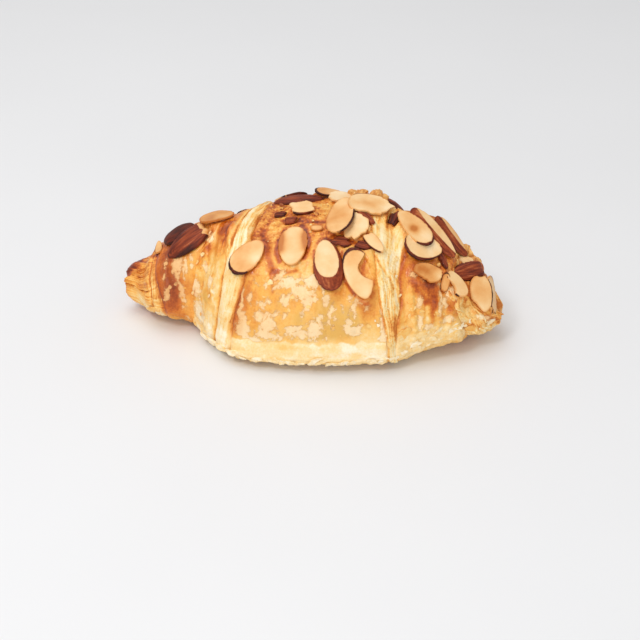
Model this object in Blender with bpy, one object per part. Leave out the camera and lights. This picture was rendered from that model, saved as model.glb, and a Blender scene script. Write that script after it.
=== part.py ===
"""An almond croissant about 168 mm long, resting on a flat spot of its own underside.

The roll lies along X, its front faces -Y and +Z is up. One closed mesh holds the baked dough, with
the steps between its wraps, the flaked almonds sunk into the glaze and the crags of loose pastry.
"""

import bmesh
import bpy
import numpy as np
from mathutils import Matrix, Vector

NAME = "croissant"
MM = 0.001

# Driving dimensions, in millimetres and degrees. Angles round the roll run from the front, 0, over
# the top, 90, to the back, 180, and the underside, 270.
LENGTH = 168.0
HALF = LENGTH / 2
END_BLUNTNESS = 14.0      # higher makes the two ends squarer
SIDE_POWER = 0.92         # under 1 fills the section out towards a box
TOP_POWER = 0.95
AROUND = 60               # faces round the roll
ALONG = 58                # faces along it
ROUND_END_SHARE = 0.45    # share of the faces drawn towards the round ends

# x, half depth, top, underside, how far back the middle lies, how rounded the underside is
SECTIONS = (
    (-84.0, 9.0, 23.0, 3.0, 2.0, 1.0),
    (-78.0, 13.0, 26.5, 1.5, 2.0, 1.0),
    (-70.0, 18.0, 30.5, 0.8, 2.5, 0.9),
    (-60.0, 24.0, 37.0, 0.5, 3.0, 0.8),
    (-50.0, 24.5, 43.0, 0.0, 2.5, 0.6),
    (-42.0, 30.0, 47.0, -1.0, 1.5, 0.5),
    (-30.0, 40.0, 50.0, -1.5, 0.5, 0.5),
    (-20.0, 43.5, 50.5, -1.5, 0.0, 0.5),
    (-8.0, 44.5, 52.5, -1.5, 0.0, 0.5),
    (12.0, 43.0, 54.5, -1.5, 0.0, 0.5),
    (30.0, 40.5, 55.0, -1.5, 0.0, 0.5),
    (46.0, 39.5, 49.0, -0.5, 0.0, 0.6),
    (60.0, 31.0, 39.5, 0.5, 1.0, 0.8),
    (70.0, 25.0, 34.0, 1.0, 0.5, 0.9),
    (78.0, 17.5, 26.5, 2.0, -1.5, 0.9),
    (84.0, 9.0, 16.5, 5.0, -4.0, 1.0),
)

# The rolled turns: how far each reaches from the middle, at five angles round the roll.
TURN_ANGLES = (-90.0, 0.0, 90.0, 180.0, 270.0)
MIDDLE_LEFT = (48.0, 42.0, 27.0, 12.0, 2.0)
MIDDLE_RIGHT = (46.0, 36.0, 28.0, 20.0, 14.0)
MIDDLE_DROP = (2.0, 5.0, 2.2, 4.0, 0.5)       # height of the step at those angles
OUTER_LEFT = (73.0, 71.0, 70.0, 64.0, 50.0)
OUTER_RIGHT = (68.0, 65.0, 62.0, 56.0, 42.0)
OUTER_DROP = 3.0
RAMP = 10.0               # width of the cut, layered edge of the middle turn
SHOULDER = (8.0, 26.0)    # past the ramp the next turn swells back up between these
SWELL_BACK = 0.75

FOOT_CREASE_ANGLE = 8.0   # soft crease above the pale foot of the front
FOOT_CREASE = 0.8
FOOT_BULGE = 1.0
SWELL = 0.6               # unevenness of the baked dough
TIP_LOBES = 2.2           # the left tip's upper and lower lobe

# Flaked almonds on the glaze: kind, x, angle round the roll, spin, rise of the far end, rise of the
# upper side, height over the dough, length, width, thickness.
ALMONDS = (
    ("cap", -51.5, 68.5, 41, -4, 0, 1.0, 21.0, 12.0, 3.2),
    ("cap", -57.0, 85.0, 12, 2, -4, 1.6, 19.0, 11.0, 2.6),
    ("slice", -40.5, 90.0, 22, -4, -3, 1.4, 17.5, 10.0, 1.8),
    ("chip", -68.5, 88.0, 80, 0, 10, 0.8, 7.0, 3.0, 1.6),
    ("slice", -22.5, 53.5, 55, 1, -2, 0.8, 19.0, 12.0, 1.8),
    ("slice", -5.0, 62.5, 92, -4, 2, 0.4, 20.0, 11.0, 1.8),
    ("piece", -4.0, 89.5, 3, -10, 8, 1.0, 12.0, 9.0, 1.8),
    ("chip", -14.0, 87.5, -5, 3, 10, 0.5, 6.5, 4.3, 1.4),
    ("chip", -7.0, 80.0, 5, 0, 5, 0.5, 7.0, 4.2, 1.4),
    ("chip", 4.0, 73.5, 10, 3, 5, 0.4, 5.5, 3.3, 1.4),
    ("slice", -5.0, 102.0, 8, 0, 4, 1.5, 24.0, 10.0, 2.2),
    ("slice", 6.0, 107.0, 4, -9, 6, 3.0, 13.5, 8.0, 1.8),
    ("piece", 11.5, 101.0, -4, -7, 7, 2.0, 12.5, 9.0, 1.6),
    ("lump", 18.5, 110.0, 0, 0, 0, 1.2, 9.0, 8.0, 7.0),
    ("lump", 27.0, 107.0, 0, 0, 0, 1.2, 8.0, 8.0, 7.0),
    ("slice", 13.5, 80.0, 89, 2, -7, 2.2, 22.5, 12.5, 1.9),
    ("piece", 26.0, 89.0, -5, 1, 7, 2.4, 21.0, 14.0, 1.8),
    ("piece", 21.5, 71.5, 77, 2, -12, 1.8, 16.0, 10.5, 1.8),
    ("chip", 24.0, 80.5, -20, -6, 2, 1.4, 10.0, 4.7, 1.6),
    ("chip", 34.5, 87.5, 86, 12, -16, 1.4, 10.5, 5.2, 1.8),
    ("slice", 42.5, 85.5, -40, -5, 4, 2.6, 20.5, 12.0, 1.9),
    ("slice", 47.0, 73.0, 3, -4, 10, 1.4, 17.5, 12.7, 1.9),
    ("cap", 50.5, 86.0, -42, -5, 0, 2.4, 25.0, 9.0, 3.2),
    ("cap", 57.5, 96.0, -24, -10, 3, 2.6, 21.0, 9.0, 2.8),
    ("chip", 56.5, 67.5, -66, 6, 2, 1.0, 9.3, 3.1, 1.8),
    ("lump", 65.0, 104.0, -30, 0, 0, 1.0, 7.5, 7.0, 6.0),
    ("lump", 70.0, 99.0, -50, 0, 0, 0.8, 7.0, 6.0, 5.0),
    ("piece", 66.5, 88.0, 1, 8, 0, 1.2, 9.5, 6.8, 1.6),
    ("cap", 67.0, 72.5, 34, 10, 16, 1.8, 17.0, 9.0, 2.8),
    ("slice", 51.5, 52.5, -17, 5, 0, 1.0, 15.0, 8.7, 1.6),
    ("chip", 58.0, 47.0, -80, -4, 8, 0.8, 8.0, 3.8, 1.6),
    ("arc", 62.5, 47.5, 127, -5, 8, 1.2, 12.5, 7.0, 1.8),
    ("slice", 73.0, 42.5, -90, 9, 16, 1.6, 19.5, 11.0, 1.8),
    ("slice", 76.5, 66.0, -50, -8, -6, 1.4, 18.5, 9.0, 1.7),
    ("slice", 10.5, 50.5, 98, -6, 8, 1.0, 20.0, 12.5, 2.0),
    ("chip", 13.0, 38.5, 0, 0, 0, 0.5, 9.0, 8.0, 1.5),
    ("arc", 23.5, 42.5, -74, 8, -4, 1.0, 22.5, 11.5, 1.9),
    ("piece", 27.5, 61.0, -28, 0, 0, 0.7, 13.0, 6.0, 1.6),
    ("chip", 14.0, 64.5, 0, 0, 0, 0.8, 10.5, 5.4, 1.8),
    ("chip", 24.5, 61.5, 0, 0, 0, 0.6, 9.0, 5.1, 1.6),
    ("slice", -30.0, 118.0, 30, 0, 0, 0.9, 20.0, 11.5, 1.8),
    ("slice", -12.0, 124.0, -50, 2, 0, 1.0, 21.0, 12.0, 1.9),
    ("piece", 2.0, 131.0, 70, 0, 4, 1.0, 14.0, 10.0, 1.8),
    ("slice", 17.0, 128.0, 15, 0, 0, 1.0, 20.5, 12.5, 1.9),
    ("cap", 33.0, 118.0, 60, 0, 0, 1.2, 20.0, 11.0, 3.0),
    ("slice", 44.0, 128.0, -20, 0, 0, 0.9, 19.0, 11.5, 1.8),
    ("arc", -2.0, 148.0, 40, 0, 0, 0.9, 19.0, 11.0, 1.8),
    ("piece", 28.0, 144.0, -70, 0, 0, 0.8, 13.0, 9.0, 1.8),
    ("slice", 60.0, 132.0, 50, 0, 0, 0.9, 17.0, 10.0, 1.7),
    ("chip", -43.0, 128.0, 20, 0, 0, 0.6, 9.0, 5.0, 1.8),
    ("chip", 12.0, 112.0, -30, 0, 0, 0.8, 9.0, 5.5, 1.8),
)
ALMOND_POINT = 0.16       # how much narrower the pointed half of an almond is
ARC_HOLLOW = 0.12         # half width left on the hollow side of a broken, curved slice
ALMOND_SKIRT = 1.2        # glaze that fills in under a slice
RIM_SHARE = 0.9           # the top face of a slice against its rim
SLICE_POINTS = 14
CHIP_POINTS = 8

# Loose flakes of pastry: x, angle, spin, rise of the far end, height, length, width, thickness.
FLAKES = (
    (43.0, 9.0, 60, 10, 0.6, 9.0, 5.0, 1.6),
    (70.0, -10.0, 10, 4, 0.3, 9.0, 5.0, 1.4),
    (80.0, 40.0, -35, 8, 0.2, 9.0, 4.5, 1.8),
    (-39.0, -8.0, 175, 8, 0.2, 9.0, 4.0, 1.4),
    (-34.0, -4.0, 185, 8, 0.2, 8.0, 4.0, 1.4),
    (-28.0, -5.0, 185, 7, 0.2, 8.0, 3.5, 1.4),
    (48.0, -8.0, -5, 7, 0.2, 8.0, 4.0, 1.4),
    (-67.0, -16.0, 185, 7, 0.2, 8.0, 4.0, 1.4),
    (-38.0, 188.0, 10, 6, 0.2, 9.0, 4.5, 1.4),
    (47.0, 188.0, 172, 6, 0.2, 9.0, 4.5, 1.4),
)

BAKED_COLOUR = (0.66, 0.34, 0.11, 1.0)
BAKED_ROUGHNESS = 0.45


def smooth_through(stops, values, at):
    """A smooth curve through the values, read at any number of places."""
    stops, values = np.asarray(stops, float), np.asarray(values, float)
    slope = np.gradient(values, stops)
    i = np.clip(np.searchsorted(stops, at) - 1, 0, len(stops) - 2)
    width = stops[i + 1] - stops[i]
    t = np.clip((at - stops[i]) / width, 0, 1)
    return (
        (2 * t**3 - 3 * t**2 + 1) * values[i]
        + (t**3 - 2 * t**2 + t) * width * slope[i]
        + (3 * t**2 - 2 * t**3) * values[i + 1]
        + (t**3 - t**2) * width * slope[i + 1]
    )


def rise(start, end, value):
    """0 before the start, 1 past the end, and an S between them."""
    t = np.clip((value - start) / (end - start), 0, 1)
    return t * t * (3 - 2 * t)


def past_edge(x, angle, left, right):
    """How far a point lies beyond a turn's edge, and under 0 on the turn itself."""
    to_left = -smooth_through(TURN_ANGLES, left, angle) - x
    to_right = x - smooth_through(TURN_ANGLES, right, angle)
    return np.maximum(to_left, to_right)


def relief(x, angle):
    """Height of the dough over the plain roll: wraps, foot, tip lobes and unevenness."""
    past = past_edge(x, angle, MIDDLE_LEFT, MIDDLE_RIGHT)
    drop = smooth_through(TURN_ANGLES, MIDDLE_DROP, angle)
    height = -drop * rise(0, RAMP, past) * (1 - SWELL_BACK * rise(*SHOULDER, past))
    past = past_edge(x, angle, OUTER_LEFT, OUTER_RIGHT)
    height = height - OUTER_DROP * rise(0, 3, past)

    on_front = rise(-44, -34, x) * rise(42, 32, x)
    crease = FOOT_CREASE * np.exp(-(((angle - FOOT_CREASE_ANGLE) / 5) ** 2))
    bulge = FOOT_BULGE * rise(6, -6, angle) * rise(-80, -50, angle)
    height = height + on_front * (bulge - crease)

    uneven = np.sin(x / 8.5 + angle / 37) * np.sin(angle / 15 + 1.3 + x / 29)
    height = height + SWELL * uneven * rise(-40, -5, angle) * rise(225, 190, angle)

    lobes = np.cos(np.radians(2 * (angle - 100)))
    return height + TIP_LOBES * lobes * rise(-73, -80, x)


def dough_surface(x, angle):
    """Points of the dough, in millimetres, for places along the roll and angles round it."""
    table = np.array(SECTIONS)
    half_depth, top, under, back, rounded = (
        smooth_through(table[:, 0], table[:, k], x) for k in range(1, 6)
    )
    end = np.sqrt(np.clip(1 - np.abs(x / HALF) ** END_BLUNTNESS, 0, 1))
    middle = under + (top - under) * (0.2 + 0.6 * (rounded - 0.5))
    extra = relief(x, angle) * end
    across, upward = np.cos(np.radians(angle)), np.sin(np.radians(angle))
    y = back - (half_depth * end + extra) * np.sign(across) * np.abs(across) ** SIDE_POWER
    above = middle + ((top - middle) * end + extra) * np.abs(upward) ** TOP_POWER
    below = middle - (middle - under) * end * np.abs(upward) ** rounded
    z = np.where(upward >= 0, above, below)
    return np.stack([x + 0 * y, y, np.maximum(z, 0)], axis=-1)


def surface_frame(x, angle):
    """The point there and its axes: along the roll, up round it, and out of the dough."""
    def at(x_at, angle_at):
        return Vector(dough_surface(np.array(x_at), np.array(angle_at)))

    along = (at(x + 1.5, angle) - at(x - 1.5, angle)).normalized()
    around = at(x, angle + 3) - at(x, angle - 3)
    out = along.cross(around).normalized()
    return at(x, angle), Matrix((along, out.cross(along), out)).transposed()


def placed(x, angle, spin, far_rise, side_rise, height):
    """Matrix that lays a shape on the dough, turned and tilted by the angles in degrees."""
    point, axes = surface_frame(x, angle)
    turn = (
        Matrix.Rotation(np.radians(spin), 3, "Z")
        @ Matrix.Rotation(np.radians(-far_rise), 3, "Y")
        @ Matrix.Rotation(np.radians(side_rise), 3, "X")
    )
    matrix = (axes @ turn).to_4x4()
    matrix.translation = point + axes.col[2] * height
    return matrix


def almond_outline(kind, length, width, turn):
    """One point of an almond slice's outline, for a turn round it in radians."""
    along, across = np.cos(turn), np.sin(turn)
    x = 0.5 * length * along
    y = 0.5 * width * across * (1 - ALMOND_POINT * along)
    if kind == "arc" and across > 0:
        y = -ARC_HOLLOW * width * (1 - along * along)
    if kind in ("piece", "chip"):
        ragged = 1 + 0.12 * np.sin(3 * turn + length) + 0.1 * np.sin(5 * turn + width)
        x, y = x * ragged, y * ragged
    return x, y


def slice_mesh(kind, length, width, thickness):
    """A flat slice with a rounded-off upper rim, and glaze filled in under it."""
    mesh = bmesh.new()
    points = CHIP_POINTS if kind == "chip" else SLICE_POINTS
    bmesh.ops.create_cone(mesh, segments=points, radius1=1, radius2=1, depth=1, cap_ends=True)
    for vert in mesh.verts:
        turn = np.arctan2(vert.co.y, vert.co.x)
        on_top = vert.co.z > 0
        x, y = almond_outline(kind, length, width, turn)
        share = RIM_SHARE if on_top else 0.97
        z = thickness / 2 if on_top else -thickness / 2 - ALMOND_SKIRT
        vert.co = (x * share, y * share, z)
    return mesh


def cap_mesh(length, width, thickness):
    """The domed, skin-covered outside slice of an almond."""
    mesh = bmesh.new()
    bmesh.ops.create_uvsphere(mesh, u_segments=12, v_segments=6, radius=1)
    for vert in mesh.verts:
        x, y, z = vert.co
        narrow = 1 - ALMOND_POINT * x
        height = z * thickness if z > 0 else z * (0.3 * thickness + ALMOND_SKIRT)
        vert.co = (0.5 * length * x, 0.5 * width * y * narrow, height - 0.3 * thickness)
    return mesh


def lump_mesh(length, width, thickness):
    """A crumbly lump of almond filling."""
    mesh = bmesh.new()
    bmesh.ops.create_icosphere(mesh, subdivisions=2, radius=1)
    for vert in mesh.verts:
        x, y, z = vert.co
        knobbly = 1 + 0.14 * np.sin(4 * x + 3 * y + length) + 0.1 * np.sin(5 * z - 4 * x)
        vert.co = Vector((0.5 * length * x, 0.5 * width * y, 0.5 * thickness * z)) * knobbly
    return mesh


def flake_mesh(length, width, thickness):
    """A torn flake of pastry, thick where it joins the roll and thin at its free end."""
    mesh = bmesh.new()
    bmesh.ops.create_cone(mesh, segments=7, radius1=1, radius2=1, depth=1, cap_ends=True)
    for vert in mesh.verts:
        x, y, z = vert.co
        thin = thickness * (0.65 - 0.35 * x)
        ragged = 1 + 0.15 * np.sin(7 * x + 5 * y + length)
        vert.co = (0.5 * length * x * ragged, 0.5 * width * y * ragged, thin * z)
    return mesh


def to_object(mesh, name, matrix, collection):
    """Ends the mesh as an object, in metres."""
    mesh.transform(matrix)
    mesh.transform(Matrix.Scale(MM, 4))
    if mesh.calc_volume(signed=True) < 0:
        bmesh.ops.reverse_faces(mesh, faces=mesh.faces)
    data = bpy.data.meshes.new(name)
    mesh.to_mesh(data)
    mesh.free()
    obj = bpy.data.objects.new(name, data)
    collection.objects.link(obj)
    return obj


def dough(collection):
    """The rolled dough: a sphere with its poles at the two tips, drawn out to the surface."""
    mesh = bmesh.new()
    bmesh.ops.create_uvsphere(mesh, u_segments=AROUND, v_segments=ALONG, radius=1)
    places = np.array([vert.co for vert in mesh.verts])
    even = 1 - 2 * np.arccos(np.clip(places[:, 2], -1, 1)) / np.pi
    x = HALF * (ROUND_END_SHARE * places[:, 2] + (1 - ROUND_END_SHARE) * even)
    angle = np.degrees(np.arctan2(places[:, 1], places[:, 0]))
    angle = np.where(angle < -90, angle + 360, angle)
    for vert, point in zip(mesh.verts, dough_surface(x, angle)):
        vert.co = point
    return to_object(mesh, NAME, Matrix.Identity(4), collection)


def toppings(collection):
    """Every almond and flake as an object of its own, in the collection."""
    for kind, x, angle, spin, far, side, height, length, width, thickness in ALMONDS:
        if kind == "cap":
            mesh = cap_mesh(length, width, thickness)
        elif kind == "lump":
            mesh = lump_mesh(length, width, thickness)
        else:
            mesh = slice_mesh(kind, length, width, thickness)
        to_object(mesh, "almond", placed(x, angle, spin, far, side, height), collection)
    for x, angle, spin, far, height, length, width, thickness in FLAKES:
        mesh = flake_mesh(length, width, thickness)
        to_object(mesh, "flake", placed(x, angle, spin, far, 0, height), collection)


def join_all(obj, collection):
    """Fuses the collection's objects to the dough and removes them."""
    union = obj.modifiers.new("toppings", "BOOLEAN")
    union.operation = "UNION"
    union.operand_type = "COLLECTION"
    union.collection = collection
    union.solver = "MANIFOLD"
    bpy.context.view_layer.update()
    graph = bpy.context.evaluated_depsgraph_get()
    joined = bpy.data.meshes.new_from_object(obj.evaluated_get(graph))
    obj.modifiers.clear()
    obj.data = joined
    joined.name = NAME
    for other in list(collection.objects):
        bpy.data.objects.remove(other)
    bpy.data.collections.remove(collection)


def finish_surface(obj):
    """Smooth shading and the baked material."""
    material = bpy.data.materials.new("baked pastry")
    material.use_nodes = True
    shader = material.node_tree.nodes["Principled BSDF"]
    shader.inputs["Base Color"].default_value = BAKED_COLOUR
    shader.inputs["Roughness"].default_value = BAKED_ROUGHNESS
    shader.inputs["Metallic"].default_value = 0.0
    obj.data.materials.clear()
    obj.data.materials.append(material)
    obj.data.shade_smooth()
    obj.data.set_sharp_from_angle(angle=np.radians(40))


def main():
    for obj in list(bpy.data.objects):
        bpy.data.objects.remove(obj)
    whole = bpy.data.collections.new("almond croissant")
    bpy.context.scene.collection.children.link(whole)
    croissant = dough(whole)
    pieces = bpy.data.collections.new("toppings")
    whole.children.link(pieces)
    toppings(pieces)
    join_all(croissant, pieces)
    finish_surface(croissant)


main()
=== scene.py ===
# %% [markdown]
# # The looks of an almond croissant
# The real thing is a long triangle of folded dough, rolled up, brushed with egg, baked, and finished
# with syrup, almond cream and flaked almonds. Its looks come from three things: wraps that step over
# each other and show pale layers at their edges, a thin glossy skin that has flaked off in crisp
# patches, and almonds with a dark skin round a pale cut face.
# The packed solid gives the place and size of the whole, so it is loaded first and never moved.

# %% Load the fixed frame
from collections import namedtuple

import bmesh
import bpy
import numpy as np
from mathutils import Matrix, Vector


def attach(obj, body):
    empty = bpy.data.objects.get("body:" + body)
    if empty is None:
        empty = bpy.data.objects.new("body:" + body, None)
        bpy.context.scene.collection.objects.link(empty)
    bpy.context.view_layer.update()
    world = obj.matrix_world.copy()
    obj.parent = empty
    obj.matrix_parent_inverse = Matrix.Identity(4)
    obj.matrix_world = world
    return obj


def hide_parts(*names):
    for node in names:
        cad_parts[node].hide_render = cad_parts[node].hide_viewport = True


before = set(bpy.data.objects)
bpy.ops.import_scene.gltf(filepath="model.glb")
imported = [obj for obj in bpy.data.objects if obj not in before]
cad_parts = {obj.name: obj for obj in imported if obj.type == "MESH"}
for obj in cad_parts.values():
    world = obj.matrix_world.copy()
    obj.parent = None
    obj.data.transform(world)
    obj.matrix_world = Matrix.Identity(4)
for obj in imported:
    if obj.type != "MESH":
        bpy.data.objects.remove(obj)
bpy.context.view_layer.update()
MM = 0.001

# %% [markdown]
# ## Random shapes
# Baked dough is uneven at every scale. Blender has noise textures for shaders, but a mesh needs the
# same kind of noise as numbers. Gradient noise on arrays is quick enough for a few hundred thousand
# points, and a seeded shuffle makes it the same in every run.

# %% Smooth noise and scattered cells
draws = np.random.default_rng(20)
SHUFFLED = draws.permutation(1024)
DIRECTIONS = draws.normal(size=(1024, 3))
DIRECTIONS /= np.linalg.norm(DIRECTIONS, axis=1)[:, None]
SEED_STEP = 37.7


def shuffled(cell):
    """A fixed random number under 1024 for each whole-numbered cell of space."""
    x, y, z = (cell[..., axis] & 1023 for axis in range(3))
    return SHUFFLED[(SHUFFLED[(SHUFFLED[x] + y) & 1023] + z) & 1023]


def noise(points, size, seed=0):
    """Smooth random heights from about -1 to 1, with lumps as wide as the size in mm."""
    places = points / size + seed * SEED_STEP
    cell = np.floor(places).astype(np.int64)
    part = places - cell
    fade = part**3 * (part * (part * 6 - 15) + 10)
    total = np.zeros(points.shape[:-1])
    for corner in np.ndindex(2, 2, 2):
        arrow = DIRECTIONS[shuffled(cell + np.array(corner))]
        share = np.where(corner, fade, 1 - fade).prod(axis=-1)
        total += share * ((part - corner) * arrow).sum(axis=-1)
    return total * 1.7


def crumple(points, size, seed=0, octaves=3):
    """Noise with finer noise on it, each octave half as wide and half as high."""
    return sum(noise(points, size / 2**k, seed + k) / 2**k for k in range(octaves)) / 1.5


def scattered(points, size, seed=0):
    """Distance to the nearest of some scattered spots, as a share of the size, and its own number."""
    places = points / size + seed * SEED_STEP
    cell = np.floor(places).astype(np.int64)
    nearest = np.full(points.shape[:-1], 9.0)
    number = np.zeros(points.shape[:-1])
    for step in np.ndindex(3, 3, 3):
        other = cell + np.array(step) - 1
        pick = shuffled(other)
        spot = other + 0.5 + 0.35 * DIRECTIONS[pick]
        distance = np.linalg.norm(places - spot, axis=-1)
        closer = distance < nearest
        nearest = np.where(closer, distance, nearest)
        number = np.where(closer, pick / 1024, number)
    return nearest, number


sample = draws.uniform(-50, 50, (2000, 3))
print("noise runs from", noise(sample, 7).min().round(2), "to", noise(sample, 7).max().round(2))

# %% [markdown]
# ## The roll
# The solid's dough is one formula: a section that changes along the roll, with angles from the front,
# 0, over the top, 90, to the back, 180. Using the same formula here starts every fine surface from
# exactly where the solid is, and each wrap then adds its own low relief.

# %% The form of the roll
LENGTH = 168.0
HALF = LENGTH / 2
END_BLUNTNESS = 14.0
SIDE_POWER = 0.92
TOP_POWER = 0.95

# x, half depth, top, underside, how far back the middle lies, how rounded the underside is
SECTIONS = np.array((
    (-84.0, 9.0, 23.0, 3.0, 2.0, 1.0),
    (-78.0, 13.0, 26.5, 1.5, 2.0, 1.0),
    (-70.0, 18.0, 30.5, 0.8, 2.5, 0.9),
    (-60.0, 24.0, 37.0, 0.5, 3.0, 0.8),
    (-50.0, 24.5, 43.0, 0.0, 2.5, 0.6),
    (-42.0, 30.0, 47.0, -1.0, 1.5, 0.5),
    (-30.0, 40.0, 50.0, -1.5, 0.5, 0.5),
    (-20.0, 43.5, 50.5, -1.5, 0.0, 0.5),
    (-8.0, 44.5, 52.5, -1.5, 0.0, 0.5),
    (12.0, 43.0, 54.5, -1.5, 0.0, 0.5),
    (30.0, 40.5, 55.0, -1.5, 0.0, 0.5),
    (46.0, 39.5, 49.0, -0.5, 0.0, 0.6),
    (60.0, 31.0, 39.5, 0.5, 1.0, 0.8),
    (70.0, 25.0, 34.0, 1.0, 0.5, 0.9),
    (78.0, 17.5, 26.5, 2.0, -1.5, 0.9),
    (84.0, 9.0, 16.5, 5.0, -4.0, 1.0),
))
TURN_ANGLES = (-90.0, 0.0, 90.0, 180.0, 270.0)
MIDDLE_LEFT = (48.0, 42.0, 27.0, 12.0, 2.0)
MIDDLE_RIGHT = (46.0, 36.0, 28.0, 20.0, 14.0)
MIDDLE_DROP = (2.0, 5.0, 2.2, 4.0, 0.5)
OUTER_LEFT = (73.0, 71.0, 70.0, 64.0, 50.0)
OUTER_RIGHT = (68.0, 65.0, 62.0, 56.0, 42.0)
OUTER_DROP = 3.0
RAMP = 10.0
SHOULDER = (8.0, 26.0)
SWELL_BACK = 0.75
FOOT_CREASE_ANGLE = 8.0
FOOT_CREASE = 0.8
FOOT_BULGE = 1.0
SWELL = 0.6
TIP_LOBES = 2.2


def smooth_through(stops, values, at):
    """A smooth curve through the values, read at any number of places."""
    stops, values = np.asarray(stops, float), np.asarray(values, float)
    slope = np.gradient(values, stops)
    i = np.clip(np.searchsorted(stops, at) - 1, 0, len(stops) - 2)
    width = stops[i + 1] - stops[i]
    t = np.clip((at - stops[i]) / width, 0, 1)
    return (
        (2 * t**3 - 3 * t**2 + 1) * values[i]
        + (t**3 - 2 * t**2 + t) * width * slope[i]
        + (3 * t**2 - 2 * t**3) * values[i + 1]
        + (t**3 - t**2) * width * slope[i + 1]
    )


def rise(start, end, value):
    """0 before the start, 1 past the end, and an S between them."""
    t = np.clip((value - start) / (end - start), 0, 1)
    return t * t * (3 - 2 * t)


def hump(centre, width, value):
    """A soft bump, 1 at the centre."""
    return np.exp(-(((value - centre) / width) ** 2))


print(len(SECTIONS), "sections along", LENGTH, "mm")

# %% Points of the roll


def past_edge(x, angle, left, right):
    """How far a point lies beyond a turn's edge, and under 0 on the turn itself."""
    to_left = -smooth_through(TURN_ANGLES, left, angle) - x
    to_right = x - smooth_through(TURN_ANGLES, right, angle)
    return np.maximum(to_left, to_right)


def relief(x, angle):
    """Height of the dough over the plain roll: wraps, foot, tip lobes and unevenness."""
    past = past_edge(x, angle, MIDDLE_LEFT, MIDDLE_RIGHT)
    drop = smooth_through(TURN_ANGLES, MIDDLE_DROP, angle)
    height = -drop * rise(0, RAMP, past) * (1 - SWELL_BACK * rise(*SHOULDER, past))
    past = past_edge(x, angle, OUTER_LEFT, OUTER_RIGHT)
    height = height - OUTER_DROP * rise(0, 3, past)

    on_front = rise(-44, -34, x) * rise(42, 32, x)
    crease = FOOT_CREASE * hump(FOOT_CREASE_ANGLE, 5, angle)
    bulge = FOOT_BULGE * rise(6, -6, angle) * rise(-80, -50, angle)
    height = height + on_front * (bulge - crease)

    uneven = np.sin(x / 8.5 + angle / 37) * np.sin(angle / 15 + 1.3 + x / 29)
    height = height + SWELL * uneven * rise(-40, -5, angle) * rise(225, 190, angle)

    lobes = np.cos(np.radians(2 * (angle - 100)))
    return height + TIP_LOBES * lobes * rise(-73, -80, x)


def dough_surface(x, angle, relief_share=1.0):
    """Points of the dough, in millimetres, for places along the roll and angles round it."""
    half_depth, top, under, back, rounded = (
        smooth_through(SECTIONS[:, 0], SECTIONS[:, k], x) for k in range(1, 6)
    )
    end = np.sqrt(np.clip(1 - np.abs(x / HALF) ** END_BLUNTNESS, 0, 1))
    middle = under + (top - under) * (0.2 + 0.6 * (rounded - 0.5))
    extra = relief_share * relief(x, angle) * end
    across, upward = np.cos(np.radians(angle)), np.sin(np.radians(angle))
    y = back - (half_depth * end + extra) * np.sign(across) * np.abs(across) ** SIDE_POWER
    above = middle + ((top - middle) * end + extra) * np.abs(upward) ** TOP_POWER
    below = middle - (middle - under) * end * np.abs(upward) ** rounded
    z = np.where(upward >= 0, above, below)
    return np.stack([x + 0 * y, y, np.maximum(z, 0)], axis=-1)


def unit(vectors):
    """The same arrows, each 1 long."""
    return vectors / np.maximum(np.linalg.norm(vectors, axis=-1, keepdims=True), 1e-9)


def outward(x, angle):
    """The direction out of the plain roll, with the steps of the wraps left out."""
    def at(dx, turn):
        return dough_surface(np.clip(x + dx, -HALF + 0.01, HALF - 0.01), angle + turn, 0.0)

    return unit(np.cross(at(1, 0) - at(-1, 0), at(0, 3) - at(0, -3)))


print("the roll is", dough_surface(np.array(0.0), np.array(90.0))[2].round(1), "mm high in the middle")

# %% [markdown]
# ## Where the wraps end
# Each wrap ends in an edge that runs slantwise round the roll. The edges are measured on the real
# front and guessed on the back. One table holds how far each lies from the middle at some
# angles, and a smooth curve joins them, so grid lines of the mesh can follow each edge exactly. That
# keeps a sharp edge sharp, where a plain grid would cut it into steps.

# %% The edges of the wraps
EDGE_ANGLES = (-90, -30, 0, 15, 30, 45, 60, 75, 90, 110, 140, 180, 220, 270)
EDGES = {
    "left crease": (31, 30.5, 30, 28.4, 26, 24, 23.3, 23.3, 22, 19, 14, 9, 14, 31),
    "left line": (40, 38.5, 38, 36.6, 35.3, 34.2, 32.4, 31, 29.3, 26, 21, 15, 22, 40),
    "left strip": (48, 47, 46, 45.9, 44.9, 43.6, 42.3, 40.8, 38.6, 34.5, 28, 21, 28, 48),
    "left foot": (52, 51, 50.5, 50.9, 50, 48.8, 47.2, 44.8, 41.5, 37, 30, 24, 30, 52),
    "collar": (62, 62.3, 63.2, 65, 66.4, 67.2, 67.6, 67.6, 67.2, 66.5, 65, 62, 60, 62),
    "collar line": (68.5, 68.5, 68.5, 69.1, 69.8, 69.8, 69.6, 69.2, 68.4, 68, 67, 66, 66, 68.5),
    "right lip": (37, 37, 36.9, 35, 32.5, 30.7, 28.4, 26.8, 26, 25.5, 24, 20, 22, 37),
    "right groove": (42, 41.5, 40.5, 40.5, 41.5, 40, 41, 43, 42, 39, 36, 31, 34, 42),
    "right outer": (69, 69, 67, 65.5, 63.3, 62, 61.3, 61.8, 62, 61, 59, 56, 60, 69),
}
LEFT_EDGES = ("left crease", "left line", "left strip", "left foot", "collar", "collar line")


def edge_at(name, angle):
    """x of an edge at the angles, in mm."""
    reach = smooth_through(EDGE_ANGLES, EDGES[name], angle)
    return -reach if name in LEFT_EDGES else reach


def ragged_edge(name, angle, seed, depth=0.35):
    """x of an edge, torn a little as baked dough is."""
    turn = np.stack([angle * 0.6, 0 * angle, 0 * angle], axis=-1)
    return edge_at(name, angle) + depth * crumple(turn, 5.0, seed) * 1.6


print(len(EDGES), "edges")
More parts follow.
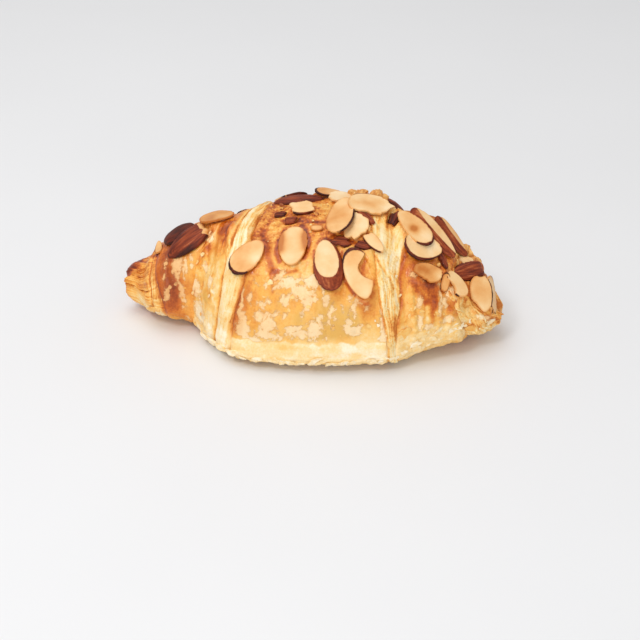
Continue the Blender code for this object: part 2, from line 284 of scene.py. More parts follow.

# %% [markdown]
# ## Sheets of dough
# Every wrap becomes a sheet of its own: a grid round the roll between two edges. At an edge the sheet
# turns down and a little under itself, as a real lip does, and dives into the wrap below, so the crease
# between them is a real gap, which the colour darkens further with painted shade. The ends are closed
# inside the roll, so each sheet is a closed body. Numbers that the colour needs, such as how dark the
# dough is from baking and from painted shade, ride on the points as attributes.

# %% Grids and meshes
HEM_STEPS = 5
HEM_TUCK = 0.9
HEM_DEPTH = 2.2
DIVE_DEPTH = 2.2
CAP_REACH = 2.0
POINT_REACH = 0.3
OVERLAP = 3.0
DIVE_END = -2.5
FRONT_SHARE = 1.35
CRISP_ANGLE = np.radians(38)
UNDER_LEAST = 0.02
STICKY_AND_SHADE_BAKE = 0.09
STICKY_GLAZE = 0.5


def even_angles(x, rows):
    """Angles round the roll at even steps of its girth, closer together on the side that shows most."""
    fine = np.linspace(-90, 270, 1441)
    ring = dough_surface(x + 0 * fine, fine)
    step = np.linalg.norm(np.diff(ring, axis=0), axis=1)
    middle = (fine[1:] + fine[:-1]) / 2
    step = step * (1 + (FRONT_SHARE - 1) * rise(-25, -10, middle) * rise(165, 140, middle))
    girth = np.concatenate([[0], np.cumsum(step)])
    return np.interp(np.linspace(0, girth[-1], rows + 1)[:-1], girth, fine)


def grid_faces(columns, rows):
    """Quads of a grid that is closed round its rows, facing out."""
    k = np.arange(columns - 1)[:, None] * rows
    j = np.arange(rows)[None]
    following = (j + 1) % rows
    quads = np.stack([k + j, k + rows + j, k + rows + following, k + following], axis=-1)
    return quads.reshape(-1, 4).tolist()


def mesh_object(name, points, faces, attributes, material):
    """A mesh in metres, smooth apart from its sharp edges, with one number a point for each attribute."""
    mesh = bpy.data.meshes.new(name)
    mesh.from_pydata((np.asarray(points) * MM).tolist(), [], faces)
    for label, values in attributes.items():
        data = mesh.attributes.new(label, "FLOAT", "POINT").data
        data.foreach_set("value", np.asarray(values, np.float32))
    mesh.shade_smooth()
    mesh.set_sharp_from_angle(angle=CRISP_ANGLE)
    mesh.materials.append(material)
    obj = bpy.data.objects.new(name, mesh)
    bpy.context.scene.collection.objects.link(obj)
    return obj


def dress(obj):
    """Hangs the piece on the root body, hides the solid that the pieces replace, and prints its triangles.
    """
    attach(obj, "root")
    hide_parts("croissant")
    print(obj.name, "has", sum(len(face.vertices) - 2 for face in obj.data.polygons), "triangles")


print("a grid of 4 by 6 points has", len(grid_faces(4, 6)), "quads")

# %% Build a sheet between two edges


def dive(past, depth=DIVE_DEPTH, start=1.0):
    """How far a sheet drops where it runs on under its neighbour."""
    return depth * rise(start, DIVE_END, past)


def sheet(name, left, right, columns, rows, surface, material, hems=(HEM_DEPTH, HEM_DEPTH)):
    """A wrap of dough between two edges, given as functions of the angle, in mm along the roll.

    surface gets x, angle, the plain points and the distances inside the two edges, and gives the
    height over the solid's surface and the attributes. A hem of 0 closes that end in a point.
    """
    middle = (left(np.array([20.0])) + right(np.array([20.0])))[0] / 2
    angle = even_angles(middle, rows)
    starts, ends = left(angle), right(angle)
    share = np.linspace(0, 1, columns)
    hem = np.linspace(1 / HEM_STEPS, 1, HEM_STEPS)
    before = hem[::-1] if hems[0] else hem[:0]
    after = hem if hems[1] else hem[:0]
    share = np.concatenate([0 * before, share, 1 + 0 * after])
    tuck = np.concatenate([before, np.zeros(columns), -after]) * HEM_TUCK
    depth = np.concatenate([before * hems[0], np.zeros(columns), after * hems[1]])
    x = starts + (ends - starts) * share[:, None]
    inside_left, inside_right = (x - starts).ravel(), (ends - x).ravel()
    x = (x + tuck[:, None]).ravel()
    turn = np.broadcast_to(angle, (len(share), rows)).ravel()
    plain = dough_surface(x, turn)
    height, attributes = surface(x, turn, plain, inside_left, inside_right)
    out = outward(x, turn)
    lift, close = bed(plain + out * height[:, None], out)
    # Near each almond the dough is glazed and darker: syrup round it, and painted contact shade.
    sticky = close * rise(-0.5, 0.3, crumple(plain, 3.0, 90))
    attributes["bake"] = attributes["bake"] + STICKY_AND_SHADE_BAKE * sticky
    attributes["glaze"] = np.maximum(attributes["glaze"], STICKY_GLAZE * sticky)
    height = height + lift - np.repeat(depth, rows)
    points = plain + out * height[:, None]
    points[:, 2] = np.maximum(points[:, 2], UNDER_LEAST)
    faces = grid_faces(len(share), rows)
    caps = []
    for first, inwards, hem_depth in ((0, 1.0, hems[0]), ((len(share) - 1) * rows, -1.0, hems[1])):
        ring = points[first:first + rows]
        caps.append(ring.mean(axis=0) + (inwards * (CAP_REACH if hem_depth else POINT_REACH), 0, 0))
        centre = len(points) + len(caps) - 1
        for j in range(rows):
            pair = (first + j, first + (j + 1) % rows)
            faces.append([centre, *(pair if first == 0 else pair[::-1])])
    points = np.concatenate([points, caps])
    attributes = {
        label: np.concatenate([values, [values[0], values[-1]]]) for label, values in attributes.items()
    }
    dress(mesh_object(name, points, faces, attributes, material))


print("a plain dive under a neighbour is", dive(DIVE_END), "mm deep")

# %% [markdown]
# ## Shader maths in plain Python
# A material is a graph of nodes. Wiring it by hand hides the idea behind the wiring, so a small class
# wraps a socket and lets sums be written as sums. Each operator adds one Math node. Colours and vectors
# have their own nodes, because a Math node would turn a colour grey.

# %% A socket that can be added and multiplied


class Wire:
    """A socket of a material, used as a number in sums."""

    def __init__(self, finish, socket):
        self.finish = finish
        self.socket = socket

    def sum(self, operation, first, second=0.0):
        return self.finish.node("Math", {"operation": operation}, {0: first, 1: second})

    def __add__(self, other):
        return self.sum("ADD", self, other)

    def __sub__(self, other):
        return self.sum("SUBTRACT", self, other)

    def __rsub__(self, other):
        return self.sum("SUBTRACT", other, self)

    def __mul__(self, other):
        return self.sum("MULTIPLY", self, other)

    def __truediv__(self, other):
        return self.sum("DIVIDE", self, other)

    __radd__ = __add__
    __rmul__ = __mul__

    def most(self, other):
        return self.sum("MAXIMUM", self, other)

    def between(self, low, high):
        """0 under low, 1 over high, and an S between them."""
        places = {"Value": self, "From Min": low, "From Max": high}
        return self.finish.node("MapRange", {"interpolation_type": "SMOOTHSTEP"}, places)


print("a socket takes", [name for name in vars(Wire) if "add" in name or "sub" in name or "mul" in name])

# %% A material under construction


class Finish:
    """A material under construction, with its Principled shader."""

    def __init__(self, name, **constants):
        self.material = bpy.data.materials.new(name)
        self.material.use_nodes = True
        self.tree = self.material.node_tree
        self.shader = self.tree.nodes["Principled BSDF"]
        for label, value in constants.items():
            self.shader.inputs[label.replace("_", " ")].default_value = value

    def node(self, kind, settings, sockets, out=0):
        """Adds a node: its settings first, then the values or wires of its sockets."""
        made = self.tree.nodes.new("ShaderNode" + kind)
        for label, value in settings.items():
            if label == "stops":
                set_stops(made.color_ramp, value)
            else:
                setattr(made, label, value)
        for label, value in sockets.items():
            self.feed(made.inputs[label], value)
        return Wire(self, made.outputs[out])

    def feed(self, socket, value):
        if isinstance(value, Wire):
            self.tree.links.new(value.socket, socket)
        else:
            socket.default_value = value

    def point(self, label):
        """An attribute that rides on the mesh's points."""
        return self.node("Attribute", {"attribute_name": label}, {}, "Fac")

    def mm(self):
        """The place on the object, in millimetres."""
        place = self.node("TexCoord", {}, {}, "Object")
        return self.node("VectorMath", {"operation": "SCALE"}, {0: place, "Scale": 1 / MM})

    def speckle(self, place, size, detail=2.0, roughness=0.5):
        """Noise from 0 to 1 with spots about as wide as the size in mm."""
        sockets = {"Vector": place, "Scale": 0.5 / size, "Detail": detail, "Roughness": roughness}
        return self.node("TexNoise", {}, sockets, "Fac")

    def shards(self, place, size):
        """A random number from 0 to 1 for each of many angular cells about as wide as the size in mm."""
        cells = self.node("TexVoronoi", {}, {"Vector": place, "Scale": 1 / size}, "Color")
        return self.node("SeparateColor", {}, {"Color": cells}, "Red")

    def mix(self, factor, first, second):
        """One colour turning into another."""
        return self.node("Mix", {"data_type": "RGBA"}, {0: factor, 6: first, 7: second}, 2)

    def ramp(self, factor, stops):
        """A colour read off a row of stops."""
        return self.node("ValToRGB", {"stops": stops}, {"Fac": factor}, "Color")

    def bump(self, height, distance_mm):
        """A surface direction tilted by a height from 0 to 1."""
        sockets = {"Height": height, "Distance": distance_mm * MM, "Strength": 1.0}
        return self.node("Bump", {}, sockets, "Normal")

    def finish(self, **sockets):
        for label, value in sockets.items():
            self.feed(self.shader.inputs[label.replace("_", " ")], value)
        return self.material


def set_stops(ramp, stops):
    """Fills a colour ramp from pairs of place and colour."""
    while len(ramp.elements) > 1:
        ramp.elements.remove(ramp.elements[-1])
    ramp.elements[0].position, ramp.elements[0].color = stops[0]
    for place, colour in stops[1:]:
        ramp.elements.new(place).color = colour


def tint(code, strength=1.0):
    """A colour written as six hex digits, made ready for the shader."""
    parts = np.array([int(code[k:k + 2], 16) for k in (0, 2, 4)]) / 255
    linear = np.where(parts <= 0.04045, parts / 12.92, ((parts + 0.055) / 1.055) ** 2.4)
    return (*(linear * strength), 1.0)


print("golden skin is", np.round(tint("F5C472"), 3), "for the shader")

# %% [markdown]
# ## The baked dough's finish
# Egg wash bakes from cream over gold and orange to brown, so one number reads a row of colours. The
# same number also darkens creases, grooves and hollows, which is painted shade.
# Syrup that ran and browned is redder, so a second row of colours takes over where there is glaze.
# Where the thin skin has flaked off, the dough is pale and matt with a crisp edge: the mesh brings a
# smooth field, random shards roughen it and the shader cuts it off sharply, which draws jagged edges
# far finer than the grid. The cut edges of the wraps show stripes of layers, drawn along the lip. An
# olive tint on the lower front stands partly for skin soaked through with butter and partly for
# painted shade.

# %% The baked dough
BAKE_COLOURS = (
    (0.00, tint("FDEED0")),
    (0.14, tint("F8D89C")),
    (0.30, tint("F5C472")),
    (0.45, tint("F2B052")),
    (0.58, tint("E2913A")),
    (0.70, tint("CC6D26")),
    (0.84, tint("A04818")),
    (1.00, tint("64260C")),
)
SYRUP_COLOURS = (
    (0.10, tint("F7CA88")),
    (0.35, tint("EFA450")),
    (0.52, tint("DE7F26")),
    (0.68, tint("C45C10")),
    (0.84, tint("A04208")),
    (1.00, tint("782A04")),
)
UNDER_SKIN_COLOURS = (
    (0.05, tint("FAE5BE")),
    (0.35, tint("FBD7A2")),
    (0.55, tint("F3C388")),
    (0.75, tint("E7AE70")),
)
LAYER_COLOURS = (
    (0.22, tint("FCEDC8")),
    (0.42, tint("FADFA6")),
    (0.58, tint("F8CC7C")),
    (0.76, tint("EDA44C")),
    (0.92, tint("CB742C")),
)


def baked_dough():
    """Egg-washed skin, flaked patches, layered cuts, sticky glaze and crumbly crust."""
    dough = Finish("baked dough", IOR=1.45, Specular_IOR_Level=0.35, Coat_Roughness=0.12)
    place = dough.mm()
    fine = dough.speckle(place, 0.4, 3.0, 0.6)
    middling = dough.speckle(place, 1.4, 3.0, 0.6)
    broad = dough.speckle(place, 5.0, 2.0)
    shards, chips = dough.shards(place, 1.1), dough.shards(place, 0.5)
    glaze, crust, cut = (dough.point(label) for label in ("glaze", "crust", "cut"))
    along = dough.node("CombineXYZ", {}, {"X": dough.point("layer"), "Y": dough.point("round") * 0.08})
    grain = dough.speckle(along, 0.5, 3.0, 0.55)

    unevenness = (middling - 0.5) * 0.24 + (fine - 0.5) * 0.24 + (broad - 0.5) * 0.20 + (grain - 0.5) * 0.07
    crumbly = (middling - 0.5) * 0.75 + (shards - 0.5) * 0.22 + (fine - 0.5) * 0.3
    bake = dough.point("bake") + unevenness + crust * crumbly
    skin = dough.mix(
        glaze.between(0.15, 0.75), dough.ramp(bake, BAKE_COLOURS), dough.ramp(bake, SYRUP_COLOURS)
    )

    jagged = (shards - 0.5) * 0.36 + (chips - 0.5) * 0.24 + (middling - 0.5) * 0.30 + (fine - 0.5) * 0.08
    field = dough.point("torn") + jagged
    torn = field.between(-0.012, 0.012)
    loose = field.between(-0.45, 0.0)
    # The olive tint is partly butter-soaked skin and partly painted shade on the lower front.
    oily = dough.point("oily").between(0.1, 0.9)
    skin = dough.mix(oily * 0.78, skin, tint("E0AE56"))
    skin = dough.mix(loose * 0.16, skin, tint("FAD798"))
    # Painted shade: a thin darker orange line just outside each flaked patch, as under the lifted edge of
    # the skin.
    skin = dough.mix(field.between(-0.10, -0.04) * 0.30, skin, tint("D9883A"))
    under_skin = dough.ramp(bake + 0.06 - field.between(0.2, 0.26) * 0.14, UNDER_SKIN_COLOURS)
    colour = dough.mix(torn, skin, under_skin)

    stripes = (grain - 0.5) * 1.3 + (fine - 0.5) * 0.3 + 0.52
    layers = dough.ramp(stripes + (bake - 0.22) * 0.9, LAYER_COLOURS)
    showing = (cut + (middling - 0.5) * 0.5 + (fine - 0.5) * 0.3).between(0.3, 0.6)
    colour = dough.mix(showing, colour, layers)

    matt = torn.most(showing)
    roughness = 0.44 + matt * 0.20 - glaze * 0.20 + crust * 0.1 + (fine - 0.5) * 0.2
    coat = (1 - matt * 0.8) * (0.05 + glaze * 0.30)
    height = fine * 0.32 + middling * 0.30 + grain * 0.15 - torn * 0.45 + chips * loose * 0.25
    height = height + stripes * showing * 0.5 + crust * (middling * 0.9 + fine * 0.3)
    return dough.finish(
        Base_Color=colour,
        Roughness=roughness,
        Coat_Weight=coat,
        Normal=dough.bump(height, 0.32),
    )


dough_finish = baked_dough()
print("the dough's finish has", len(dough_finish.node_tree.nodes), "nodes")

# %% [markdown]
# ## Patches, strokes and stains
# Some things on the dough are in one place only: a torn patch, a brown run of syrup, a fold. Each is a
# spot or a stroke with a place and a size, listed one by one, apart from the torn patches of the back,
# which are drawn at random. The torn spots are joined into one field, the strongest at each point.
# Soft spots and strokes are simply added up, like washes of paint.

# %% Spots and strokes on the dough
DEGREE_MIDDLE = 0.62
DEGREE_LEFT = 0.42
DEGREE_RIGHT = 0.5
TORN_SOFTNESS = 2.4


def inside_spot(x, angle, spot, degree):
    """1 at the spot's centre, 0 at its rim and under 0 outside.

    A spot is x, angle, half width and half height in mm, and tilt in degrees. degree is how many mm
    of the surface one degree covers.
    """
    spot_x, spot_angle, half_width, half_height, tilt = spot
    dx, dy = x - spot_x, (angle - spot_angle) * degree
    turn = np.radians(tilt)
    along = (dx * np.cos(turn) + dy * np.sin(turn)) / half_width
    across = (dy * np.cos(turn) - dx * np.sin(turn)) / half_height
    return 1 - np.hypot(along, across)


def torn_field(x, angle, plain, spots, seed, degree=DEGREE_MIDDLE):
    """Where the skin is gone, over 0, with edges as jagged as torn paper."""
    field = np.full(len(x), -0.8)
    x = x + 1.1 * crumple(plain, 4.0, seed + 3)
    angle = angle + 1.0 / degree * crumple(plain, 4.0, seed + 6)
    for spot in spots:
        softness = np.clip(np.sqrt(spot[2] * spot[3]) / TORN_SOFTNESS, 0.35, 1.0)
        field = np.maximum(field, softness * inside_spot(x, angle, spot, degree))
    wide, narrow = scattered(plain, 3.2, seed)[1], scattered(plain, 1.5, seed + 1)[1]
    return field + 0.42 * (wide - 0.5) + 0.30 * (narrow - 0.5) + 0.40 * crumple(plain, 2.4, seed + 2)


def stain(x, angle, spots, degree=DEGREE_MIDDLE):
    """The sum of soft spots, each with a strength as its last number."""
    total = np.zeros(len(x))
    for *spot, strength in spots:
        total += strength * np.exp(-((1 - inside_spot(x, angle, spot, degree)) ** 2))
    return total


def strokes(x, angle, table, degree=DEGREE_MIDDLE):
    """The sum of soft strokes, each a half width in mm, a strength, and the points of its path."""
    total = np.zeros(len(x))
    for half_width, strength, path in table:
        path = np.array(path, float) * (1, degree)
        low, high = path.min(axis=0) - half_width, path.max(axis=0) + half_width
        place = np.stack([x, angle * degree], axis=-1)
        near = np.flatnonzero(((place > low) & (place < high)).all(axis=-1))
        distance = np.full(len(near), 99.0)
        for start, end in zip(path[:-1], path[1:]):
            step, offset = end - start, place[near] - start
            share = np.clip(offset @ step / (step @ step), 0, 1)[:, None]
            distance = np.minimum(distance, np.linalg.norm(offset - share * step, axis=-1))
        total[near] += strength * rise(1, 0, distance / half_width)
    return total


print("one degree round the middle wrap is", DEGREE_MIDDLE, "mm")

# %% The torn patches
TORN_MIDDLE = (
    (-23.6, 12, 2.7, 5.2, 0), (-24.3, 20, 1.5, 3.0, 0), (-13, 17, 3.6, 3.2, 0), (-10, 21, 2.0, 1.6, 30),
    (-15.5, 10, 3.3, 2.2, 0), (-12, 8, 4.4, 1.8, 0), (-16, 27, 1.6, 1.1, 0), (-13, 28.5, 1.2, 0.8, 0),
    (-21, 31.5, 0.9, 2.2, 0), (-4.5, 39, 4.6, 2.2, 0), (4.5, 38.5, 5.0, 2.2, 0), (1.7, 32.5, 5.4, 3.2, 0),
    (3.5, 27.5, 1.6, 2.6, 0), (-5.7, 29.5, 2.0, 2.2, 0), (-2.3, 13, 4.5, 1.2, 10), (0.5, 10, 5.0, 1.5, 0),
    (6.3, 13, 2.7, 4.0, 0), (8.3, 19, 1.6, 1.6, 0), (10.7, 29, 1.1, 2.6, -15), (13.5, 23, 1.4, 2.4, 0),
    (15.3, 19, 0.8, 0.8, 0), (12, 16, 0.9, 0.6, 0), (14, 13, 0.6, 0.8, 0), (11.7, 7, 1.1, 0.9, 0),
    (22.7, 26, 1.3, 2.4, -40), (22, 11.5, 3.6, 1.3, 0), (20, 15, 1.6, 1.6, 30), (24.7, 13, 1.1, 1.1, 0),
    (34.6, 20, 1.4, 5.0, 0), (35.4, 9, 1.8, 3.0, 0), (-25.4, 40, 0.9, 3.0, 0), (-24.6, 30, 0.7, 3.4, 0),
    (-8, 44, 2.4, 1.4, 20), (9.5, 34, 1.2, 2.2, 0), (-19, 5, 3.0, 1.0, 0), (28, 23, 0.7, 0.9, 0),
    (17.6, 24, 0.5, 1.0, 0), (-10, 35.5, 1.4, 1.0, 0), (-1, 34, 3.0, 3.4, 0), (-17, 21, 2.0, 2.0, 0),
    (23, 21, 0.5, 0.7, 0), (-6.3, 20, 0.8, 1.6, -30), (1.5, 20, 0.6, 0.9, 0), (-18.4, 40, 0.7, 0.9, 0),
    (-14, 38, 0.8, 1.4, 0), (20.6, 30, 0.5, 1.2, 0),
)
TORN_LEFT = (
    (-56.6, 47, 2.1, 4.2, 0), (-52.8, 45, 0.9, 3.0, 10), (-56, 34, 1.0, 2.6, 0),
    (-53.6, 36, 0.5, 2.0, 10), (-54.3, 13, 1.5, 5.4, 8), (-61, 17, 1.0, 1.5, 0),
    (-60.7, 7, 0.9, 2.0, -20), (-62, 36, 0.45, 1.3, 0), (-62, 49, 0.5, 1.5, -10),
    (-52.3, -17, 1.2, 1.6, 0), (-64.5, -15, 1.5, 2.0, 0), (-59.5, 22, 0.5, 0.6, 0),
    (-50.5, 52, 0.7, 1.4, 20), (-50, 42, 0.5, 1.0, 0), (-57, 24, 0.4, 0.6, 0), (-64, 10, 0.4, 0.9, 0),
    (-43.5, 72, 1.3, 2.6, 0), (-49, 60, 0.5, 0.8, 0),
)
TORN_RIGHT = (
    (56.9, 34.5, 0.9, 2.4, 0), (57.3, 23, 0.7, 2.2, 0), (61.7, 39.5, 2.9, 3.2, 0), (65, 35, 3.4, 2.4, 0),
    (59, 29, 1.2, 3.0, 0), (60.7, 11, 2.6, 1.6, 0), (53.5, 8, 2.2, 1.6, 0), (48.5, 30, 0.8, 2.4, 0),
    (49.5, 14, 1.0, 3.4, 0), (47, 50, 2.0, 1.4, 0), (50, 2, 2.4, 1.6, 0), (57, 3, 2.0, 1.4, 20),
    (58, 46, 1.4, 1.2, 0),
)


def guessed_spots(count, x_range, angle_range, seed):
    """Torn patches for the side that the photograph doesn't show."""
    pick = np.random.default_rng(seed)
    return tuple(
        (pick.uniform(*x_range), pick.uniform(*angle_range), 0.6 + 4 * pick.random()**2,
         0.8 + 3.5 * pick.random()**2, pick.uniform(-60, 60))
        for _ in range(count)
    )


TORN_MIDDLE += guessed_spots(60, (-22, 30), (122, 200), 3)
TORN_LEFT += guessed_spots(26, (-62, -28), (108, 195), 4)
TORN_RIGHT += guessed_spots(22, (38, 62), (108, 195), 5)
print(len(TORN_MIDDLE) + len(TORN_LEFT) + len(TORN_RIGHT), "torn patches")

# %% [markdown]
# ## Where the almonds lie
# Every flaked almond has its counterpart in the solid. Here its place is set more finely, mostly within
# 2 mm of the solid's, and the looks are added: how toasted the piece is, where its brown skin shows and
# where it is broken. The dough needs the table too, because it rises to meet the underside of each
# slice, as syrup and almond cream do, and dips under one that is pressed in.

# %% The almonds
# face is cut, or skin for a piece that is skin all over. x, angle and height say where its middle lies
# and spin how it is turned. far and side are how far the far end and the upper side rise, in degrees.
# toast is how browned the face is. skin_side is the direction in which the band of skin round a cut face
# is widest. breaks are pairs of direction and share of the reach that is left. bite is x, y and radius
# of a hollow.
Almond = namedtuple(
    "Almond",
    "face x angle spin far side height length width thickness toast "
    "skin_side widest narrowest breaks bite",
    defaults=(0, 0, 0, (), None),
)
ALMONDS = tuple(Almond(*row) for row in (
    ("skin", -52.6, 70.6, 209, 1, 0, 1.0, 22.4, 12.8, 3.1, 0.5, 0, 0, 0, ((184, 0.84),)),
    ("skin", -58.0, 89.3, 25, -4, 3, 1.4, 15.5, 12.5, 2.6, 0.85),
    ("cut", -41.4, 92.4, 9, -2, 0, 1.2, 15.4, 11.0, 1.8, 0.66, -100),
    ("cut", -66.8, 81.6, 94, 7, 15, 0.8, 9.0, 3.4, 1.6, 0.5, 90, 0.3, 0.1, ((180, 0.8),)),
    ("cut", -23.5, 53.9, 57, 4, -1, 0.8, 18.2, 11.6, 1.8, 0.5, 186, 1.6),
    ("cut", -5.0, 62.1, -90, 5, 3, -0.2, 20.8, 12.3, 1.8, 0.35),
    ("cut", -3.8, 90.3, -1, -7, 9, 1.0, 11.6, 10.0, 1.8, 0.26, -90, 0.7, 0.0,
     ((20, 0.85), (120, 0.75), (200, 0.85))),
    ("skin", -13.4, 88.1, -11, 1, 10, 0.5, 7.4, 4.5, 1.4, 0.7, 0, 0, 0,
     ((10, 0.8), (150, 0.8), (260, 0.8))),
    ("skin", -7.8, 81.1, 3, 2, 5, 0.5, 7.0, 5.3, 1.4, 0.4, 0, 0, 0, ((0, 0.8), (90, 0.8), (180, 0.85))),
    ("cut", 4.3, 73.2, -2, 1, 5, 0.4, 5.8, 2.8, 1.4, 0.55, 0, 0, 0.2, ((0, 0.8), (180, 0.85))),
    ("skin", -7.2, 104.5, 3, 2, 5, 1.3, 22.3, 9.5, 2.2, 0.5),
    ("cut", 5.0, 111.0, 10, -7, 14, 3.0, 11.8, 9.0, 1.8, 0.7, 180, 1.0, 0.3),
    ("cut", 11.2, 105.0, -6, -4, 10, 2.0, 12.8, 9.8, 1.6, 0.15, 0, 0, 0,
     ((-60, 0.8), (20, 0.8), (200, 0.8))),
    ("cut", 13.8, 79.5, 85, 4, -12, 3.0, 23.8, 11.8, 1.9, 0.42, -120, 0.7),
    ("cut", 26.1, 88.9, 14, -10, 9, 2.8, 21.6, 16.0, 1.8, 0.3, 90, 0.5, 0.0,
     ((-48, 0.74), (-105, 0.7), (-8, 0.9), (38, 0.82))),
    ("cut", 20.9, 72.5, 84, 6, -8, 1.5, 18.2, 10.4, 1.8, 0.28, 0, 0, 0,
     ((-30, 0.8), (160, 0.85), (-130, 0.85))),
    ("skin", 24.2, 80.4, -50, -11, 3, 2.4, 13.7, 4.4, 1.6, 0.3, 0, 0, 0, ((0, 0.85), (120, 0.85))),
    ("skin", 34.7, 87.5, 84, 17, -17, 1.8, 14.0, 5.0, 1.8, 0.8, 0, 0, 0, ((40, 0.85), (170, 0.8))),
    ("cut", 43.5, 81.2, 144, 8, -7, 3.4, 20.2, 11.0, 1.9, 0.3, 180, 1.2),
    ("cut", 47.8, 70.9, 13, -2, 10, 1.1, 17.3, 12.7, 1.9, 0.2, 232, 1.4),
    ("cut", 50.6, 85.4, -31, -6, 12, 2.8, 28.0, 10.6, 2.2, 0.25, -90, 5.6),
    ("cut", 57.9, 96.6, -14, -14, 10, 2.6, 21.5, 8.8, 2.2, 0.45, -90, 5.4),
    ("skin", 56.9, 67.4, -68, 7, 1, 1.0, 9.7, 3.8, 1.8, 0.5),
    ("cut", 66.2, 88.4, 11, 15, 2, 1.2, 8.5, 7.1, 1.6, 0.2, 90, 0.4, 0.0, ((180, 0.85), (10, 0.8))),
    ("skin", 67.3, 74.3, 218, -10, -24, 1.8, 18.8, 8.8, 2.8, 0.4, 0, 0, 0, ((180, 0.82), (270, 0.9))),
    ("cut", 51.2, 52.4, 2, 1, -4, 1.0, 13.9, 8.9, 1.6, 0.62, 90, 0.3, 0.0, ((-120, 0.72), (-20, 0.9))),
    ("cut", 58.2, 47.2, -95, -10, 11, 0.8, 9.1, 3.6, 1.6, 0.7, 180, 0.6, 0.1, ((0, 0.8),)),
    ("cut", 62.5, 47.5, 127, -5, 8, 1.4, 12.5, 8.4, 1.8, 0.28, 90, 0.5, 0.0, (), (0.5, 7.2, 5.4)),
    ("cut", 72.8, 45.9, -76, -3, 20, 1.6, 19.0, 10.6, 1.8, 0.5, 90, 0.7, 0.0,
     ((180, 0.92), (-42, 0.72), (28, 0.86))),
    ("cut", 77.3, 68.0, -46, -10, -10, 1.0, 16.7, 8.4, 1.7, 0.4, 90, 0.9, 0.3),
    ("cut", 10.8, 48.2, 97, -8, 12, 1.0, 23.6, 12.4, 2.0, 0.3, 192, 5.8, 0.55),
    ("skin", 10.0, 45.0, 0, 0, 0, 0.4, 9.5, 6.0, 1.5, 0.5),
    ("cut", 23.5, 42.5, -74, 8, -4, 1.0, 23.0, 11.5, 1.9, 0.34, 196, 1.6, 0.0, (), (-1.2, 5.6, 5.2)),
    ("cut", 28.3, 62.0, -47, 0, -1, 0.7, 12.2, 5.6, 1.6, 0.3, -60, 0.4, 0.1, ((170, 0.8),)),
    ("skin", 15.0, 63.2, 1, -8, -3, 0.8, 11.6, 6.0, 1.8, 0.5, 0, 0, 0,
     ((20, 0.8), (150, 0.7), (250, 0.8))),
    ("skin", 24.0, 60.4, -14, -3, 0, 0.6, 8.8, 4.6, 1.6, 0.6, 0, 0, 0, ((80, 0.7), (190, 0.8))),
    ("cut", -29.0, 142.0, 30, 0, 0, 0.9, 20.0, 11.5, 1.8, 0.4, 120, 1.2, 0.2),
    ("cut", -12.0, 124.0, -50, 2, 0, 1.0, 21.0, 12.0, 1.9, 0.2, 40, 1.4, 0.2),
    ("cut", 2.0, 131.0, 70, 0, 4, 1.0, 14.0, 10.0, 1.8, 0.15, 0, 0.3, 0.0, ((20, 0.8), (140, 0.8))),
    ("cut", 17.0, 128.0, 15, 0, 0, 1.0, 20.5, 12.5, 1.9, 0.3, 250, 1.6, 0.3),
    ("skin", 33.0, 118.0, 60, 0, 0, 1.2, 20.0, 11.0, 3.0, 0.5),
    ("cut", 44.0, 128.0, -20, 0, 0, 0.9, 19.0, 11.5, 1.8, 0.5, 90, 1.2, 0.2),
    ("cut", -2.0, 148.0, 40, 0, 0, 0.9, 19.0, 11.0, 1.8, 0.25, 180, 1.0, 0.2, (), (0, 8.0, 9.2)),
    ("cut", 28.0, 144.0, -70, 0, 0, 0.8, 13.0, 9.0, 1.8, 0.2, 0, 0.2, 0.0, ((60, 0.8), (200, 0.8))),
    ("cut", 60.0, 132.0, 50, 0, 0, 0.9, 17.0, 10.0, 1.7, 0.3, 150, 1.2, 0.2),
    ("skin", -43.0, 128.0, 20, 0, 0, 0.6, 9.0, 5.0, 1.8, 0.5, 0, 0, 0, ((20, 0.8),)),
    ("skin", 12.0, 112.0, -30, 0, 0, 0.8, 9.0, 5.5, 1.8, 0.4, 0, 0, 0, ((200, 0.8),)),
))
# x, angle, spin, height, length, width, thickness
LUMPS = (
    (18.5, 110.0, 0, 1.2, 9.0, 8.0, 7.0),
    (27.0, 107.0, 0, 1.2, 8.0, 8.0, 7.0),
    (65.0, 104.0, -30, 1.0, 7.5, 7.0, 6.0),
    (70.0, 99.0, -50, 0.8, 7.0, 6.0, 5.0),
)
FRAME_ALONG = 1.5
FRAME_AROUND = 3.0


def turned(degrees, axis):
    """Matrix of a turn about the axis 0, 1 or 2."""
    first, second = (axis + 1) % 3, (axis + 2) % 3
    matrix = np.eye(3)
    cosine, sine = np.cos(np.radians(degrees)), np.sin(np.radians(degrees))
    matrix[first, first] = matrix[second, second] = cosine
    matrix[first, second], matrix[second, first] = -sine, sine
    return matrix


def surface_axes(x, angle):
    """The point of the dough there and its axes as columns: along, up round it, and out."""
    def at(dx, turn):
        return dough_surface(np.array(x + dx), np.array(angle + turn))

    along = unit(at(FRAME_ALONG, 0) - at(-FRAME_ALONG, 0))
    out = unit(np.cross(along, at(0, FRAME_AROUND) - at(0, -FRAME_AROUND)))
    return at(0, 0), np.stack([along, np.cross(out, along), out], axis=1)


def placed(x, angle, spin, far_rise, side_rise, height):
    """Where a shape lies on the dough: its middle, and its axes turned and tilted."""
    point, axes = surface_axes(x, angle)
    turn = turned(spin, 2) @ turned(-far_rise, 1) @ turned(side_rise, 0)
    return point + axes[:, 2] * height, axes @ turn


def almond_place(almond):
    """The middle of an almond and its axes."""
    return placed(almond.x, almond.angle, almond.spin, almond.far, almond.side, almond.height)


def share_of_reach(almond, offset):
    """How far out on an almond the offsets from its middle lie, 1 at its rim."""
    return np.hypot(offset[:, 0] / (0.5 * almond.length), offset[:, 1] / (0.5 * almond.width))


BED_GAP = 0.15
BED_MOST = 4.0
SINK_MOST = 2.0
FACING_LEAST = 0.4


